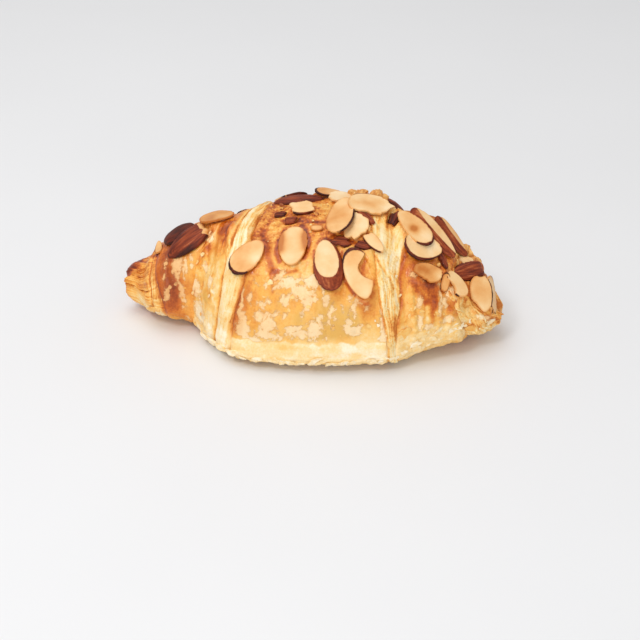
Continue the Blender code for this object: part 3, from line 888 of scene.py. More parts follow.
def bed(points, out):
    """How far the dough rises to meet the almonds or dips under them, and how close it is to one."""
    most, closest, sink = np.zeros((3, len(points)))
    ceiling = np.full(len(points), BED_MOST)
    for almond in ALMONDS:
        middle, axes = almond_place(almond)
        near = np.flatnonzero(np.linalg.norm(points - middle, axis=1) < almond.length)
        offset = (points[near] - middle) @ axes
        under_it = out[near] @ axes[:, 2] > FACING_LEAST
        reach = share_of_reach(almond, offset)
        gap = -offset[:, 2] - almond.thickness / 2 - BED_GAP
        lift = np.clip(gap, 0, BED_MOST) * rise(1.4, 0.85, reach) * under_it
        most[near] = np.maximum(most[near], lift)
        dip = np.clip(gap, -SINK_MOST, 0) * rise(1.0, 0.88, reach) * under_it
        sink[near] = np.minimum(sink[near], dip)
        close = rise(1.38, 1.0, reach) * (np.abs(gap) < BED_MOST)
        closest[near] = np.maximum(closest[near], close)
        lid = np.where((reach < 1.08) & under_it, np.maximum(gap, 0), BED_MOST)
        ceiling[near] = np.minimum(ceiling[near], lid)
    return np.minimum(most, ceiling) + sink, closest


print(len(ALMONDS), "almonds and", len(LUMPS), "lumps of cream")

# %% [markdown]
# ## The middle wrap
# The middle is the widest wrap. Its front falls in soft folds to a pale foot, its skin is golden and
# flaked, and its top is browned and sticky. How dark it is baked follows the angle round the roll, with
# stains and runs of syrup laid on top. The foot is thin shelves of dough, ragged where they end.

# %% Blisters, wrinkles and lips


def blisters(points, size, seed, share):
    """Round domes raised by steam, over a share of the surface."""
    distance, number = scattered(points, size, seed)
    dome = np.sqrt(np.clip(1 - (distance / 0.38) ** 2, 0, 1))
    return dome * (number < share) * (0.4 + number / share * 0.6)


def wrinkles(x, angle, seed, across=1.5, along=11.0, degree=DEGREE_MIDDLE):
    """Fine creases that run round the roll, as the layers do."""
    stretched = np.stack([x / across, angle * degree / along, 0 * x], axis=-1)
    return crumple(stretched, 1.0, seed)


def rolled_lip(inside, radius):
    """How far the surface drops as it rounds off over an edge."""
    t = np.clip(1 - inside / radius, 0, 1)
    return radius * (1 - np.sqrt(1 - t * t))


print("blisters raise", (blisters(sample, 5.5, 4, 0.3) > 0).mean().round(2), "of a random sample")

# %% The middle wrap
BAKE_ROUND = (
    (-90, -40, -22, -12, 0, 4, 10, 22, 34, 44, 54, 62, 85, 108, 130, 160, 185, 200, 230, 270),
    (0.55, 0.38, 0.30, 0.26, 0.26, 0.28, 0.38, 0.45, 0.44, 0.38, 0.42, 0.50, 0.53, 0.53, 0.52, 0.46,
     0.30, 0.20, 0.45, 0.55),
)
MIDDLE_STAINS = (
    (-19.5, 22, 3.4, 9, 0, 0.10), (6, 18, 8, 5, 0, -0.03), (-12, 44, 6, 4, 0, 0.06),
    (22, 15, 6, 4, 0, -0.05), (27.5, 26, 3.5, 6, 0, 0.16), (16, 32, 4, 3, 0, 0.12),
    (30, 38, 2.5, 4, 0, 0.10), (-26.5, 22, 1.8, 14, 0, 0.12), (-4, 84, 9, 6, 0, 0.14),
    (-19, 82, 5, 9, 0, -0.14), (8, 66, 4, 5, 0, 0.10), (17, 68, 5, 4, 0, 0.12), (4, 44, 10, 5, 0, -0.08),
    (29, 60, 4, 5, 0, -0.06), (30, 8, 5, 5, 0, -0.10), (-3, 50, 4, 5, 0, -0.06),
)
# half width, strength, path
MIDDLE_RUNS = (
    (2.2, 0.16, ((-15.9, 91), (-17.5, 81), (-18.6, 72))),
    (3.2, 0.24, ((-18.9, 74), (-16.5, 64), (-14.9, 55), (-12.7, 48), (-10.5, 43))),
    (1.6, 0.22, ((-12.0, 47), (-7, 45), (-2, 46))),
    (1.0, 0.14, ((-21.9, 84), (-24.3, 69))),
    (1.8, 0.34, ((-9.3, 73), (-11.5, 66), (-11.7, 58), (-9.8, 52))),
    (2.0, 0.34, ((-2.4, 76), (0.6, 70), (1.6, 62), (0.2, 54))),
    (1.0, 0.16, ((-13.1, 45), (-11.3, 34))),
    (1.3, 0.30, ((15.6, 56), (16.0, 46), (18.4, 38), (22.4, 31))),
    (1.6, 0.22, ((26.0, 51), (24.6, 43), (28.2, 34))),
    (1.1, 0.26, ((4.0, 58), (5.0, 47), (7.2, 38))),
    (1.0, 0.24, ((18.8, 58), (20.0, 50), (19.0, 42))),
    (1.4, 0.24, ((8, 66), (13, 63), (19, 64), (25, 58))),
    (1.6, 0.25, ((-12, 83), (-4, 80), (7, 79))),
    (0.8, 0.18, ((-27.4, 50), (-27.8, 34), (-29.6, 16))),
)
ROSY_FILM = (
    (1.3, 51, 1.8, 2.2, 0, 0.9), (-0.4, 44, 2.2, 2.2, 0, 1.0), (-7.5, 46, 3.0, 2.0, 0, 0.8),
    (25.5, 41, 1.6, 3.0, 0, 0.8), (-12.6, 42, 1.6, 3.0, 0, 0.8), (24.5, 50, 1.8, 2.6, 0, 0.9),
    (-14.5, 47, 2.5, 2.0, 0, 0.8),
)
MIDDLE_FOLDS = (
    (1.2, -0.40, ((-26.4, 52), (-25.0, 40), (-25.4, 28), (-26.8, 12))),
    (2.4, 0.45, ((-9, 36), (-12.5, 18), (-14, 5))), (2.2, 0.40, ((2, 31), (-1.5, 15), (-3, 5))),
    (1.8, -0.45, ((9.5, 34), (12, 20), (11.4, 9))), (2.4, 0.40, ((15, 31), (20, 16), (23, 5))),
    (1.7, -0.50, ((30.8, 44), (31.0, 28), (32.8, 12))),
    (1.3, -0.35, ((-19, 42), (-17.2, 28), (-18.5, 12))), (1.4, -0.30, ((-5, 34), (-6.5, 22), (-8.5, 12))),
    (1.2, 0.30, ((6.5, 30), (6, 18))), (1.5, -0.35, ((23, 34), (27, 22), (28.5, 12))),
)
FOOT_TOP = 4.6
FOOT_BAKE = 0.12
FOOT_STAINS = (
    (20, 2, 3.6, 2.6, 0, -0.16), (31, -2, 5, 4, 0, -0.10), (-6, 2, 12, 1.6, 0, 0.06),
    (8, -10, 20, 2, 0, 0.05),
)
# Olive spots on the lower front: partly butter-soaked skin, partly painted shade above the foot.
OLIVE_AND_SHADE_SPOTS = (
    (16, 14, 8.5, 4.4, 0, 1.0), (11, 25, 5.0, 4.0, 0, 0.8), (0, 19, 3.6, 4.0, 0, 0.7),
    (21, 20, 4, 4, 0, 0.7), (6, 9, 9, 1.6, 0, 0.7), (-8, 27, 3, 3, 0, 0.5),
)


def foot_share(x, angle, seed):
    """1 on the pale foot and 0 on the skin, with a ragged edge between them, in front and at the back."""
    place = np.stack([x / 3.5, 0 * x, 0 * x], axis=-1)
    top = FOOT_TOP + 1.8 * crumple(place, 1.3, seed)
    return rise(0.6, -0.6, angle - top) * rise(-75, -45, angle) + rise(-0.6, 0.6, angle + top - 187)


def foot_layers(x, angle, seed):
    """Thin shelves that run along the foot, ragged at the base."""
    on_foot = rise(FOOT_TOP + 1, FOOT_TOP - 4, angle) * rise(-85, -60, angle)
    shelf = np.stack([x / 14, angle * 0.55 + 0.25 * np.sin(x / 5), 0 * x], axis=-1)
    chips = np.stack([x / 2.6, angle / 14, 0 * x], axis=-1)
    base = rise(-4, -14, angle) * rise(-50, -30, angle)
    return on_foot * (0.30 * noise(shelf, 1.6, seed) + 0.12 * noise(shelf, 0.6, seed + 1)) + 0.8 * base * (
        crumple(chips, 1.0, seed + 2)
    )


def middle_surface(x, angle, plain, inside_left, inside_right):
    lips = 0.5 * hump(2.6, 2.0, inside_left) + 0.35 * hump(2.2, 1.8, inside_right)
    drops = rolled_lip(inside_left, 1.5) + rolled_lip(inside_right, 1.1)
    front = rise(3, 16, angle) * rise(62, 45, angle)
    flutes = np.stack([x / 6.5 + angle / 60, angle / 45, 0 * x], axis=-1)
    torn = torn_field(x, angle, plain, TORN_MIDDLE, 31)
    top = rise(52, 68, angle) * rise(165, 135, angle)
    crust = top * (0.65 + 0.35 * rise(0.2, -0.2, noise(plain, 9, 33)))
    crust = np.maximum(crust, 0.30 * rise(34, 42, angle) * rise(62, 52, angle))
    runs = strokes(x, angle, MIDDLE_RUNS)
    height = (
        lips - drops
        + 0.35 * noise(plain, 15, 1)
        + 0.35 * front * noise(flutes, 1.0, 2)
        + strokes(x, angle, MIDDLE_FOLDS)
        + 0.12 * wrinkles(x, angle, 3)
        + 0.30 * blisters(plain, 5.5, 4, 0.3)
        + 0.06 * crumple(plain, 1.6, 5)
        - 0.20 * rise(-0.05, 0.05, torn)
        + crust * (0.40 * crumple(plain, 2.6, 6) + 0.40 * blisters(plain, 2.0, 9, 0.5))
        - 0.8 * runs
        - 0.45 * hump(FOOT_TOP + 1, 2.2, angle) * rise(0, 4, inside_left) * rise(0, 4, inside_right)
        + foot_layers(x, angle, 34)
    )
    bake = smooth_through(*BAKE_ROUND, angle) + stain(x, angle, MIDDLE_STAINS) + runs
    # Darker along the left lip: a browned lip, and painted shade where it turns down into the crease.
    bake = bake + 0.26 * hump(0, 1.5, inside_left) + 0.16 * hump(3.2, 2.2, inside_left) * rise(0, 10, angle)
    bake = bake + 0.06 * noise(plain, 9, 7)
    foot = foot_share(x, angle, 21)
    streaks = np.maximum(noise(plain * (0.4, 1, 1), 4, 22), 0)
    pale = FOOT_BAKE + 0.16 * streaks + 0.25 * rise(-18, -40, angle) + stain(x, angle, FOOT_STAINS)
    bake = bake + foot * (pale - bake)
    film = np.clip(stain(x, angle, ROSY_FILM), 0, 1) * rise(-0.2, 0.3, crumple(plain, 1.8, 35))
    glaze = np.maximum(0.45 * top * rise(-0.2, 0.4, noise(plain, 7, 8)), np.maximum(runs * 2.6, film))
    on_foot = angle < FOOT_TOP
    return height - 0.30 * foot, {
        "bake": bake, "torn": torn - 2 * foot, "glaze": np.clip(glaze, 0, 1), "crust": crust,
        "oily": stain(x, angle, OLIVE_AND_SHADE_SPOTS) * (1 - foot),
        "cut": 0.30 * rise(FOOT_TOP - 6, -10, angle) * rise(-80, -60, angle),
        "layer": np.where(on_foot, angle * DEGREE_MIDDLE, x),
        "round": np.where(on_foot, x, angle * DEGREE_MIDDLE),
    }


sheet(
    "middle_wrap",
    lambda angle: ragged_edge("left crease", angle, 11),
    lambda angle: ragged_edge("right lip", angle, 12),
    columns=128,
    rows=560,
    surface=middle_surface,
    material=dough_finish,
)

# %% [markdown]
# ## The pale layered bands
# Beside each lip the dough swelled in the oven after the outside had set, and pulled its inner layers
# into view: a smooth pale strip, a fuzzy torn strip beyond it, and a crease where the next wrap begins.
# Higher up the same layers are pulled apart into stripes that run along the lip.

# %% The left band
AMBER_BLISTER = (-35.8, 79, 4.6, 5.4, 0)
LEFT_BAND_STAINS = (
    (-41.3, 22, 2.4, 4.2, 0, 0.26), (-35.8, 79, 5.0, 5.6, 0, 0.20), (-39.1, 27, 0.8, 0.8, 0, -0.35),
    (-43, 40, 3, 8, 0, 0.06), (-37, 8, 4, 5, 0, -0.06),
)
# Olive spots on the left band: partly butter-soaked skin, partly painted shade.
LEFT_BAND_OLIVE_AND_SHADE = ((-42.5, 21, 2.2, 2.8, 0, 1.0), (-46, 30, 1.4, 3, 0, 0.5), (-38, 8, 2, 4, 0, 0.4))
TORN_LEFT_BAND = (
    (-43, 71, 1.4, 3.0, 0), (-48, 24, 1.8, 5, 0), (-46, 6, 3, 4, 0), (-44, 44, 1.4, 3.5, 10),
    (-40.5, 33, 1.2, 3, 0),
)
# The first stroke raises a pale line that is a painted highlight along its edge; the others cut grooves
# darkened with painted shade.
LEFT_BAND_LINES = (
    (0.7, -0.25, ((-47.9, 53), (-42.7, 70), (-37.7, 93))),
    (0.6, 0.22, ((-45.1, 30), (-45.9, 19), (-44.6, 8))),
    (0.5, 0.20, ((-33.3, 92), (-34.8, 76), (-36.6, 60))),
    (0.5, 0.18, ((-38.5, 50), (-39.8, 36), (-38.6, 24))),
)


def left_band_surface(x, angle, plain, inside_left, inside_right):
    crease, line = edge_at("left crease", angle), edge_at("left line", angle)
    strip, foot = edge_at("left strip", angle), edge_at("left foot", angle)
    past = crease - x
    beyond = line - x
    first = np.clip(past / (crease - line), 0, 1)
    second = np.clip(beyond / (line - strip), 0, 1)
    third = np.clip((strip - x) / (strip - foot), 0, 1)
    pulled = rise(40, 62, angle) * rise(175, 150, angle)
    swell = 1.0 * np.sin(np.pi * first) ** 0.8 + 0.4 * np.sin(np.pi * second) + 0.35 * np.sin(np.pi * third)
    layer = past + (0.5 + 0.6 * pulled) * wrinkles(x, angle, 13, 4.0, 9.0)
    stack = np.stack([layer, angle / 30, 0 * x], axis=-1)
    fuzzy = rise(-0.4, 1.2, beyond) * (1 - 0.7 * pulled)
    blister = np.sqrt(np.clip(inside_spot(x, angle, AMBER_BLISTER, DEGREE_MIDDLE) * 1.6, 0, 1))
    lines = strokes(x, angle, LEFT_BAND_LINES)
    height = (
        swell - 0.9
        - dive(past)
        - rolled_lip(inside_left, 1.0)
        - 0.45 * hump(0, 0.5, beyond)
        + (0.10 + 0.50 * pulled) * noise(stack, 1.3, 14)
        + (0.04 + 0.22 * pulled) * noise(stack, 0.55, 15)
        + 0.30 * noise(plain, 5, 16)
        + fuzzy * (0.40 * crumple(plain, 2.4, 17) + 0.25 * blisters(plain, 1.8, 20, 0.5))
        + 1.2 * blister
        - 1.2 * lines
        - 0.22 * (1 - fuzzy) * blisters(plain, 1.2, 11, 0.3)
        + foot_layers(x, angle, 36)
    )
    bake = (
        0.15 + 0.04 * pulled + 0.12 * noise(plain, 4, 18)
        + 0.12 * pulled * rise(-0.2, 0.4, noise(plain, 5, 12))
        # Painted shade: darker in the crease under the middle wrap's lip, in the small pits and in the
        # groove at the left line.
        + 0.46 * hump(0.0, 1.5, past) * (1 - 0.8 * rise(10, -2, angle) * rise(-70, -40, angle))
        + (0.12 + 0.14 * pulled) * noise(stack, 2.0, 19)
        + 0.06 * (1 - fuzzy) * blisters(plain, 1.2, 11, 0.3)
        + 0.40 * hump(0.0, 0.7, beyond)
        + 0.10 * rise(0, 2, beyond)
        + 0.20 * rise(0.0, 3.5, strip - x) + 0.16 * pulled * rise(0.5, 3, beyond)
        + stain(x, angle, LEFT_BAND_STAINS) + lines
        - 0.12 * rise(14, 4, angle) * rise(-60, -30, angle)
        + 0.30 * rise(-30, -60, angle)
    )
    cut = 0.45 + 0.35 * pulled - 0.25 * rise(0, 1.5, beyond)
    cut = cut - 0.5 * pulled * rise(0.5, 2.5, beyond) - blister
    glaze = 0.8 * blister + 0.5 * pulled * rise(1, 3, beyond) + 0.6 * hump(0, 0.9, past)
    return height, {
        "bake": bake, "torn": torn_field(x, angle, plain, TORN_LEFT_BAND, 37), "cut": cut, "layer": layer,
        "round": angle * DEGREE_MIDDLE, "oily": stain(x, angle, LEFT_BAND_OLIVE_AND_SHADE),
        "glaze": np.clip(glaze, 0, 1), "crust": 0.35 * fuzzy * (1 - blister),
    }


sheet(
    "left_band",
    lambda angle: ragged_edge("left foot", angle, 21),
    lambda angle: edge_at("left crease", angle) + OVERLAP,
    columns=66,
    rows=500,
    surface=left_band_surface,
    material=dough_finish,
)

# %% The right band
RIGHT_BAND_STAINS = (
    (39.3, 12, 2.6, 4.5, 0, 0.36), (38.5, 58, 2.4, 6, 0, -0.06), (36, 76, 5, 6, 0, 0.12),
    (42, 30, 1.6, 5, 0, 0.10), (37, 22, 1.5, 6, 0, 0.06),
)
TORN_RIGHT_BAND = ((35.5, 30, 1.4, 5.0, 0), (41, 24, 1.2, 4, 0), (37.2, 4, 2.4, 3, 0))
# Grooves darkened partly with syrup and partly with painted shade.
RIGHT_BAND_LINES = (
    (0.9, 0.30, ((29.6, 54), (33.1, 47), (36.6, 42), (38.0, 37))),
    (0.5, 0.16, ((37.6, 40), (38.6, 28), (39.4, 18))),
    (0.5, 0.16, ((35.4, 34), (36.8, 22), (38.6, 12))),
)
RIGHT_BAND_RIDGES = (
    (1.5, 0.7, ((32.0, 46), (35.2, 34), (38.0, 20), (39.8, 6))),
    (1.3, 0.6, ((36.4, 40), (38.6, 30), (40.4, 20))),
    (1.2, -0.6, ((33.6, 40), (36.4, 28), (38.6, 16))),
)


def right_band_surface(x, angle, plain, inside_left, inside_right):
    lip, groove = edge_at("right lip", angle), edge_at("right groove", angle)
    past = x - lip
    share = np.clip(past / (groove - lip), 0, 1)
    notch = rise(42, 50, angle) * rise(84, 74, angle)
    layer = 9.0 * share + 0.8 * wrinkles(x, angle, 23, 4.0, 9.0)
    stack = np.stack([layer, angle / 30, 0 * x], axis=-1)
    ribs = np.sin(2 * np.pi * (angle * DEGREE_MIDDLE / 2.0 + 1.6 * share**2 + 0.3 * noise(plain, 4, 29)))
    lines = strokes(x, angle, RIGHT_BAND_LINES)
    torn = torn_field(x, angle, plain, TORN_RIGHT_BAND, 39)
    height = (
        (0.7 - 0.5 * notch) * np.sin(np.pi * share) - 0.5
        - dive(past, start=0.8)
        - rolled_lip(inside_right, 0.9)
        + (0.34 - 0.20 * notch) * noise(stack, 1.3, 24)
        + (0.14 - 0.06 * notch) * noise(stack, 0.55, 25)
        + 0.05 * notch * ribs
        + 0.25 * noise(plain, 5, 26)
        + strokes(x, angle, RIGHT_BAND_RIDGES)
        - (1 - notch) * 0.30 * blisters(plain, 1.3, 27, 0.35)
        - 1.0 * lines
        + foot_layers(x, angle, 38)
    )
    bake = (
        0.16 + 0.10 * noise(plain, 4, 28) + 0.05 * noise(stack, 2.0, 30)
        # Painted shade: darker where the band comes out from under the middle wrap's lip and in the groove
        # where the right wrap begins.
        + 0.30 * hump(0.0, 0.6, past)
        + 0.42 * hump(0.0, 1.3, groove - x) * rise(-5, 20, angle)
        + 0.30 * rise(-30, -60, angle)
        + 0.20 * rise(74, 86, angle) * rise(165, 140, angle)
        + stain(x, angle, RIGHT_BAND_STAINS) + lines
        - 0.08 * rise(10, 2, angle) * rise(-60, -30, angle)
    )
    glaze = 0.8 * hump(0.0, 1.5, groove - x) * rise(10, 30, angle) + 1.5 * lines
    crust = 0.25 * (1 - notch) + 0.4 * rise(78, 90, angle) * rise(165, 140, angle)
    return height, {
        "bake": bake, "torn": torn, "cut": 0.62 - 0.1 * notch, "layer": layer,
        "round": angle * DEGREE_MIDDLE, "glaze": np.clip(glaze, 0, 1), "crust": crust,
    }


sheet(
    "right_band",
    lambda angle: edge_at("right lip", angle) - OVERLAP,
    lambda angle: ragged_edge("right groove", angle, 22),
    columns=50,
    rows=500,
    surface=right_band_surface,
    material=dough_finish,
)

# %% [markdown]
# ## The outer wraps and the two ends
# The wrap on the left is the most browned, a glossy orange-brown with torn patches that turns golden
# towards the band. The one on the right is paler and rougher and carries runs of brown syrup. Past them
# lie the ends: on the left a knob of two lobes whose layers fold in chevrons, on the right a blunt end
# of rough, pale, curving layers.

# %% The left wrap
BAKE_ROUND_LEFT = (
    (-90, -45, -22, -8, 6, 20, 40, 60, 75, 90, 120, 160, 190, 220, 270),
    (0.55, 0.46, 0.56, 0.67, 0.73, 0.72, 0.70, 0.68, 0.66, 0.62, 0.61, 0.58, 0.42, 0.45, 0.55),
)
LEFT_STAINS = (
    (-61.4, 56, 2.2, 7, 0, 0.10), (-58, 12, 4, 9, 0, 0.14), (-44, 66, 5, 5, 0, 0.14),
    (-50, 74, 3, 3, 0, 0.12), (-49.5, 62, 3, 7, 0, -0.06), (-63, 64, 2, 4, 0, 0.10),
    (-53, 20, 2.5, 6, 0, 0.06), (-48, 84, 5, 6, 0, 0.06), (-58, 40, 2.4, 8, 0, 0.06),
)
LEFT_FOLDS = (
    (1.4, 0.45, ((-50.2, 46), (-49.6, 34), (-50, 22))),
    (1.0, -0.35, ((-48.8, 44), (-48.2, 32), (-49, 20))),
    (1.3, 0.40, ((-62.6, 50), (-61.4, 30), (-60.4, 14))),
    (1.1, -0.30, ((-64.4, 46), (-63.4, 26), (-61.8, 6))),
    (0.8, 0.35, ((-61.4, 72), (-61.6, 60), (-62, 50))),
)


def left_wrap_surface(x, angle, plain, inside_left, inside_right):
    foot, collar = edge_at("left foot", angle), edge_at("collar", angle)
    past = foot - x
    share = np.clip(past / (foot - collar), 0, 1)
    torn = torn_field(x, angle, plain, TORN_LEFT, 41, DEGREE_LEFT)
    height = (
        0.45 * hump(2.5, 2.0, inside_left)
        - rolled_lip(inside_left, 1.2)
        - dive(past, 2.6, 0.8)
        + 0.45 * noise(plain, 10, 42)
        + 0.16 * wrinkles(x, angle, 43, 1.3, 8.0, DEGREE_LEFT)
        + strokes(x, angle, LEFT_FOLDS, DEGREE_LEFT)
        + 0.30 * blisters(plain, 4.5, 44, 0.3)
        + 0.06 * crumple(plain, 1.5, 45)
        - 0.18 * rise(-0.06, 0.06, torn)
        + 0.5 * foot_layers(x, angle + 6, 40)
    )
    bake = (
        smooth_through(*BAKE_ROUND_LEFT, angle)
        - 0.24 * rise(0.5, 0.04, share) * rise(-30, 0, angle)
        # Darker along the lip at the collar: a browned lip, and painted shade where it turns down into the
        # crease.
        + 0.16 * hump(0, 1.4, inside_left)
        + 0.06 * noise(plain, 7, 46)
        + stain(x, angle, LEFT_STAINS, DEGREE_LEFT)
    )
    glaze = 0.20 + 0.35 * noise(plain, 9, 47) + 0.4 * hump(0, 2, inside_left)
    crust = 0.2 * rise(60, 80, angle) * rise(170, 150, angle)
    return height, {
        "bake": bake, "torn": torn, "cut": 0 * x, "layer": x, "round": angle * DEGREE_LEFT,
        "glaze": np.clip(glaze, 0, 1), "crust": crust,
    }


sheet(
    "left_wrap",
    lambda angle: ragged_edge("collar", angle, 48, 0.2),
    lambda angle: edge_at("left foot", angle) + OVERLAP,
    columns=64,
    rows=420,
    surface=left_wrap_surface,
    material=dough_finish,
)

# %% The right wrap
BAKE_ROUND_RIGHT = (
    (-90, -45, -25, -12, 0, 12, 24, 34, 46, 60, 90, 120, 160, 190, 220, 270),
    (0.55, 0.38, 0.26, 0.14, 0.18, 0.28, 0.36, 0.42, 0.46, 0.48, 0.54, 0.55, 0.48, 0.32, 0.45, 0.55),
)
RIGHT_STAINS = (
    (61.7, 26, 3.4, 3.4, 0, 0.26), (59.5, 14, 3.6, 3.4, 0, 0.18), (67.3, 28, 2.4, 4.0, 0, 0.26),
    (51.5, 45, 5, 5, 0, 0.18), (46.5, 8, 3, 6, 0, -0.06), (45.5, 52, 3, 5, 0, 0.16),
    (56, 60, 5, 5, 0, 0.06), (66, 20, 2.5, 4, 0, 0.12),
)
RIGHT_RUNS = (
    (2.0, 0.20, ((46.3, 44), (48.9, 36), (51.9, 30))),
    (4.4, 0.20, ((51.0, 50), (53.2, 40), (54.5, 28))),
    (2.2, 0.20, ((54.6, 34), (54.7, 24), (54.2, 16), (53.9, 10))),
    (1.0, 0.14, ((50.8, 30), (51.4, 22), (51.0, 14))),
    (1.0, -0.18, ((51.8, 26), (52.3, 16))),
)
RIGHT_FOLDS = (
    (1.6, 0.55, ((44.8, 40), (46.2, 24), (47.4, 8))), (1.2, -0.45, ((47.2, 34), (48.8, 20), (49.4, 6))),
    (1.6, 0.45, ((56.4, 30), (57.6, 16), (57.2, 2))), (1.2, -0.45, ((59.4, 22), (60.4, 8))),
    (1.5, 0.50, ((62.6, 22), (62.0, 10), (60.5, 0))),
)


def right_wrap_surface(x, angle, plain, inside_left, inside_right):
    past = x - edge_at("right groove", angle)
    torn = torn_field(x, angle, plain, TORN_RIGHT, 51, DEGREE_RIGHT)
    runs = strokes(x, angle, RIGHT_RUNS, DEGREE_RIGHT)
    top = rise(55, 70, angle) * rise(165, 140, angle)
    crust = np.maximum(0.18 + 0.24 * rise(0.1, -0.3, noise(plain, 6, 59)), 0.7 * top)
    height = (
        0.35 * hump(2.5, 2.0, inside_right)
        - rolled_lip(inside_right, 1.2)
        - dive(past, 2.6, 0.8)
        + 0.65 * noise(plain, 9, 52)
        + 0.35 * crumple(plain, 4.5, 62)
        + strokes(x, angle, RIGHT_FOLDS, DEGREE_RIGHT)
        + 0.18 * wrinkles(x, angle, 53, 1.4, 8.0, DEGREE_RIGHT)
        + 0.30 * blisters(plain, 4.0, 54, 0.35)
        + 0.16 * crumple(plain, 2.2, 55)
        - 0.20 * rise(-0.06, 0.06, torn)
        + top * (0.35 * crumple(plain, 2.6, 60) + 0.35 * blisters(plain, 2.0, 61, 0.5))
        + 0.35 * runs
        + foot_layers(x, angle, 50)
    )
    bake = (
        smooth_through(*BAKE_ROUND_RIGHT, angle)
        + stain(x, angle, RIGHT_STAINS, DEGREE_RIGHT) + runs
        # Painted shade in the crease where the wrap comes out from under the right band.
        + 0.24 * hump(0, 1.0, past) * rise(0, 20, angle) + 0.05
        + 0.08 * noise(plain, 6, 56) + 0.16 * rise(34, 14, angle) * crumple(plain, 3.2, 68)
    )
    glaze = rise(8, 30, angle) * (0.35 + 0.4 * noise(plain, 7, 57))
    foot = 0.75 * foot_share(x, angle - 2, 24) * (0.25 + 0.75 * rise(64, 52, x))
    bake = bake + foot * (0.14 + 0.2 * np.maximum(noise(plain, 3, 25), 0) - bake)
    return height, {
        "bake": bake, "torn": torn - foot, "cut": 0.30 * rise(8, -4, angle) * rise(-80, -60, angle),
        "layer": x, "round": angle * DEGREE_RIGHT,
        "glaze": np.clip(np.maximum(glaze, runs * 2.6), 0, 1), "crust": crust,
    }


sheet(
    "right_wrap",
    lambda angle: edge_at("right groove", angle) - OVERLAP,
    lambda angle: ragged_edge("right outer", angle, 58),
    columns=66,
    rows=440,
    surface=right_wrap_surface,
    material=dough_finish,
)

# %% The two ends
TIP_END = HALF - 0.02
TIP_NOTCH = 62
END_CUT = 1.7
END_FULLNESS = 1.1
NOTCH_DEPTH = 2.6
FOLD_X = -75.5
TORN_RIGHT_END = ((74, 8, 3, 3, 0), (66, 2, 2.5, 2, 0))
RIGHT_END_STAINS = ((70, -8, 4, 3.5, 10, 0.26), (68, 26, 2, 5, 0, 0.16))


def left_tip_surface(x, angle, plain, inside_left, inside_right):
    collar, past = edge_at("collar", angle), edge_at("collar line", angle) - x
    on_tip = rise(0.3, 1.8, past)
    face = rise(-10, 4, angle) * rise(66, 54, angle)
    shrinking = np.sqrt(np.clip(1 - np.abs(x / HALF) ** END_BLUNTNESS, 0, 1))
    chevron = (angle - 20) * 0.40 * shrinking - 0.85 * np.abs(x - FOLD_X) * face + 0.5 * x * (1 - face)
    stack = np.stack([chevron + 0.5 * noise(plain, 4, 61), 0 * x, 0 * x], axis=-1)
    strips = np.stack([x - collar, angle / 40, 0 * x], axis=-1)
    ridges = noise(stack, 1.5, 62)
    holes = face * on_tip * rise(-0.30, -0.50, ridges) * rise(-0.1, 0.2, noise(plain, 2.5, 67))
    notch = hump(TIP_NOTCH, 10, angle) * rise(-77, -82, x)
    cap = rise(TIP_NOTCH + 4, TIP_NOTCH + 12, angle) * rise(150, 130, angle) * rise(-74.5, -78, x)
    height = (
        -dive(collar - x)
        - 0.7 * hump(0, 0.7, past)
        + 0.30 * (1 - on_tip) * noise(strips, 0.9, 65)
        + (0.25 + 0.65 * face) * on_tip * ridges
        - 0.5 * holes
        + 0.35 * noise(plain, 5, 63)
        + 0.14 * crumple(plain, 1.5, 64)
        - 1.6 * notch
        - 0.4 * rise(70, 100, angle) * rise(165, 140, angle) * rise(-77, -82, x)
        + (END_FULLNESS + 0.6 * hump(28, 22, angle)) * rise(-77, -82, x)
    )
    rim = rise(-80.5, -83.5, x)
    bake = (
        # Painted shade: darker in the valleys and paler on the ridges, darker in the holes, at the notch,
        # in the crease under the left wrap and in the groove at the collar line.
        0.53 + 0.10 * noise(plain, 4, 66) - 0.26 * ridges
        - 0.10 * (1 - on_tip)
        + 0.26 * hump(0, 0.9, collar - x)
        + 0.30 * hump(0, 0.45, past)
        + 0.14 * rim + 0.34 * cap + 0.30 * holes + 0.12 * hump(60, 8, angle) * on_tip
        - 0.26 * rise(6, -22, angle) * rise(-70, -40, angle) * rise(-81, -76, x)
        + 0.10 * rise(60, 80, angle)
    )
    glaze = np.clip(0.20 + 0.3 * rim + 0.4 * cap + 0.4 * hump(0, 0.9, collar - x), 0, 1)
    cut = 0.30 * face + 0.20 * (1 - on_tip) - 0.5 * cap - 0.4 * rim
    return height, {
        "bake": bake, "torn": -1 + 0 * x, "cut": cut, "layer": np.where(on_tip > 0.5, chevron, x * 1.5),
        "round": angle * DEGREE_LEFT, "glaze": glaze, "crust": 0.15 + 0 * x,
    }


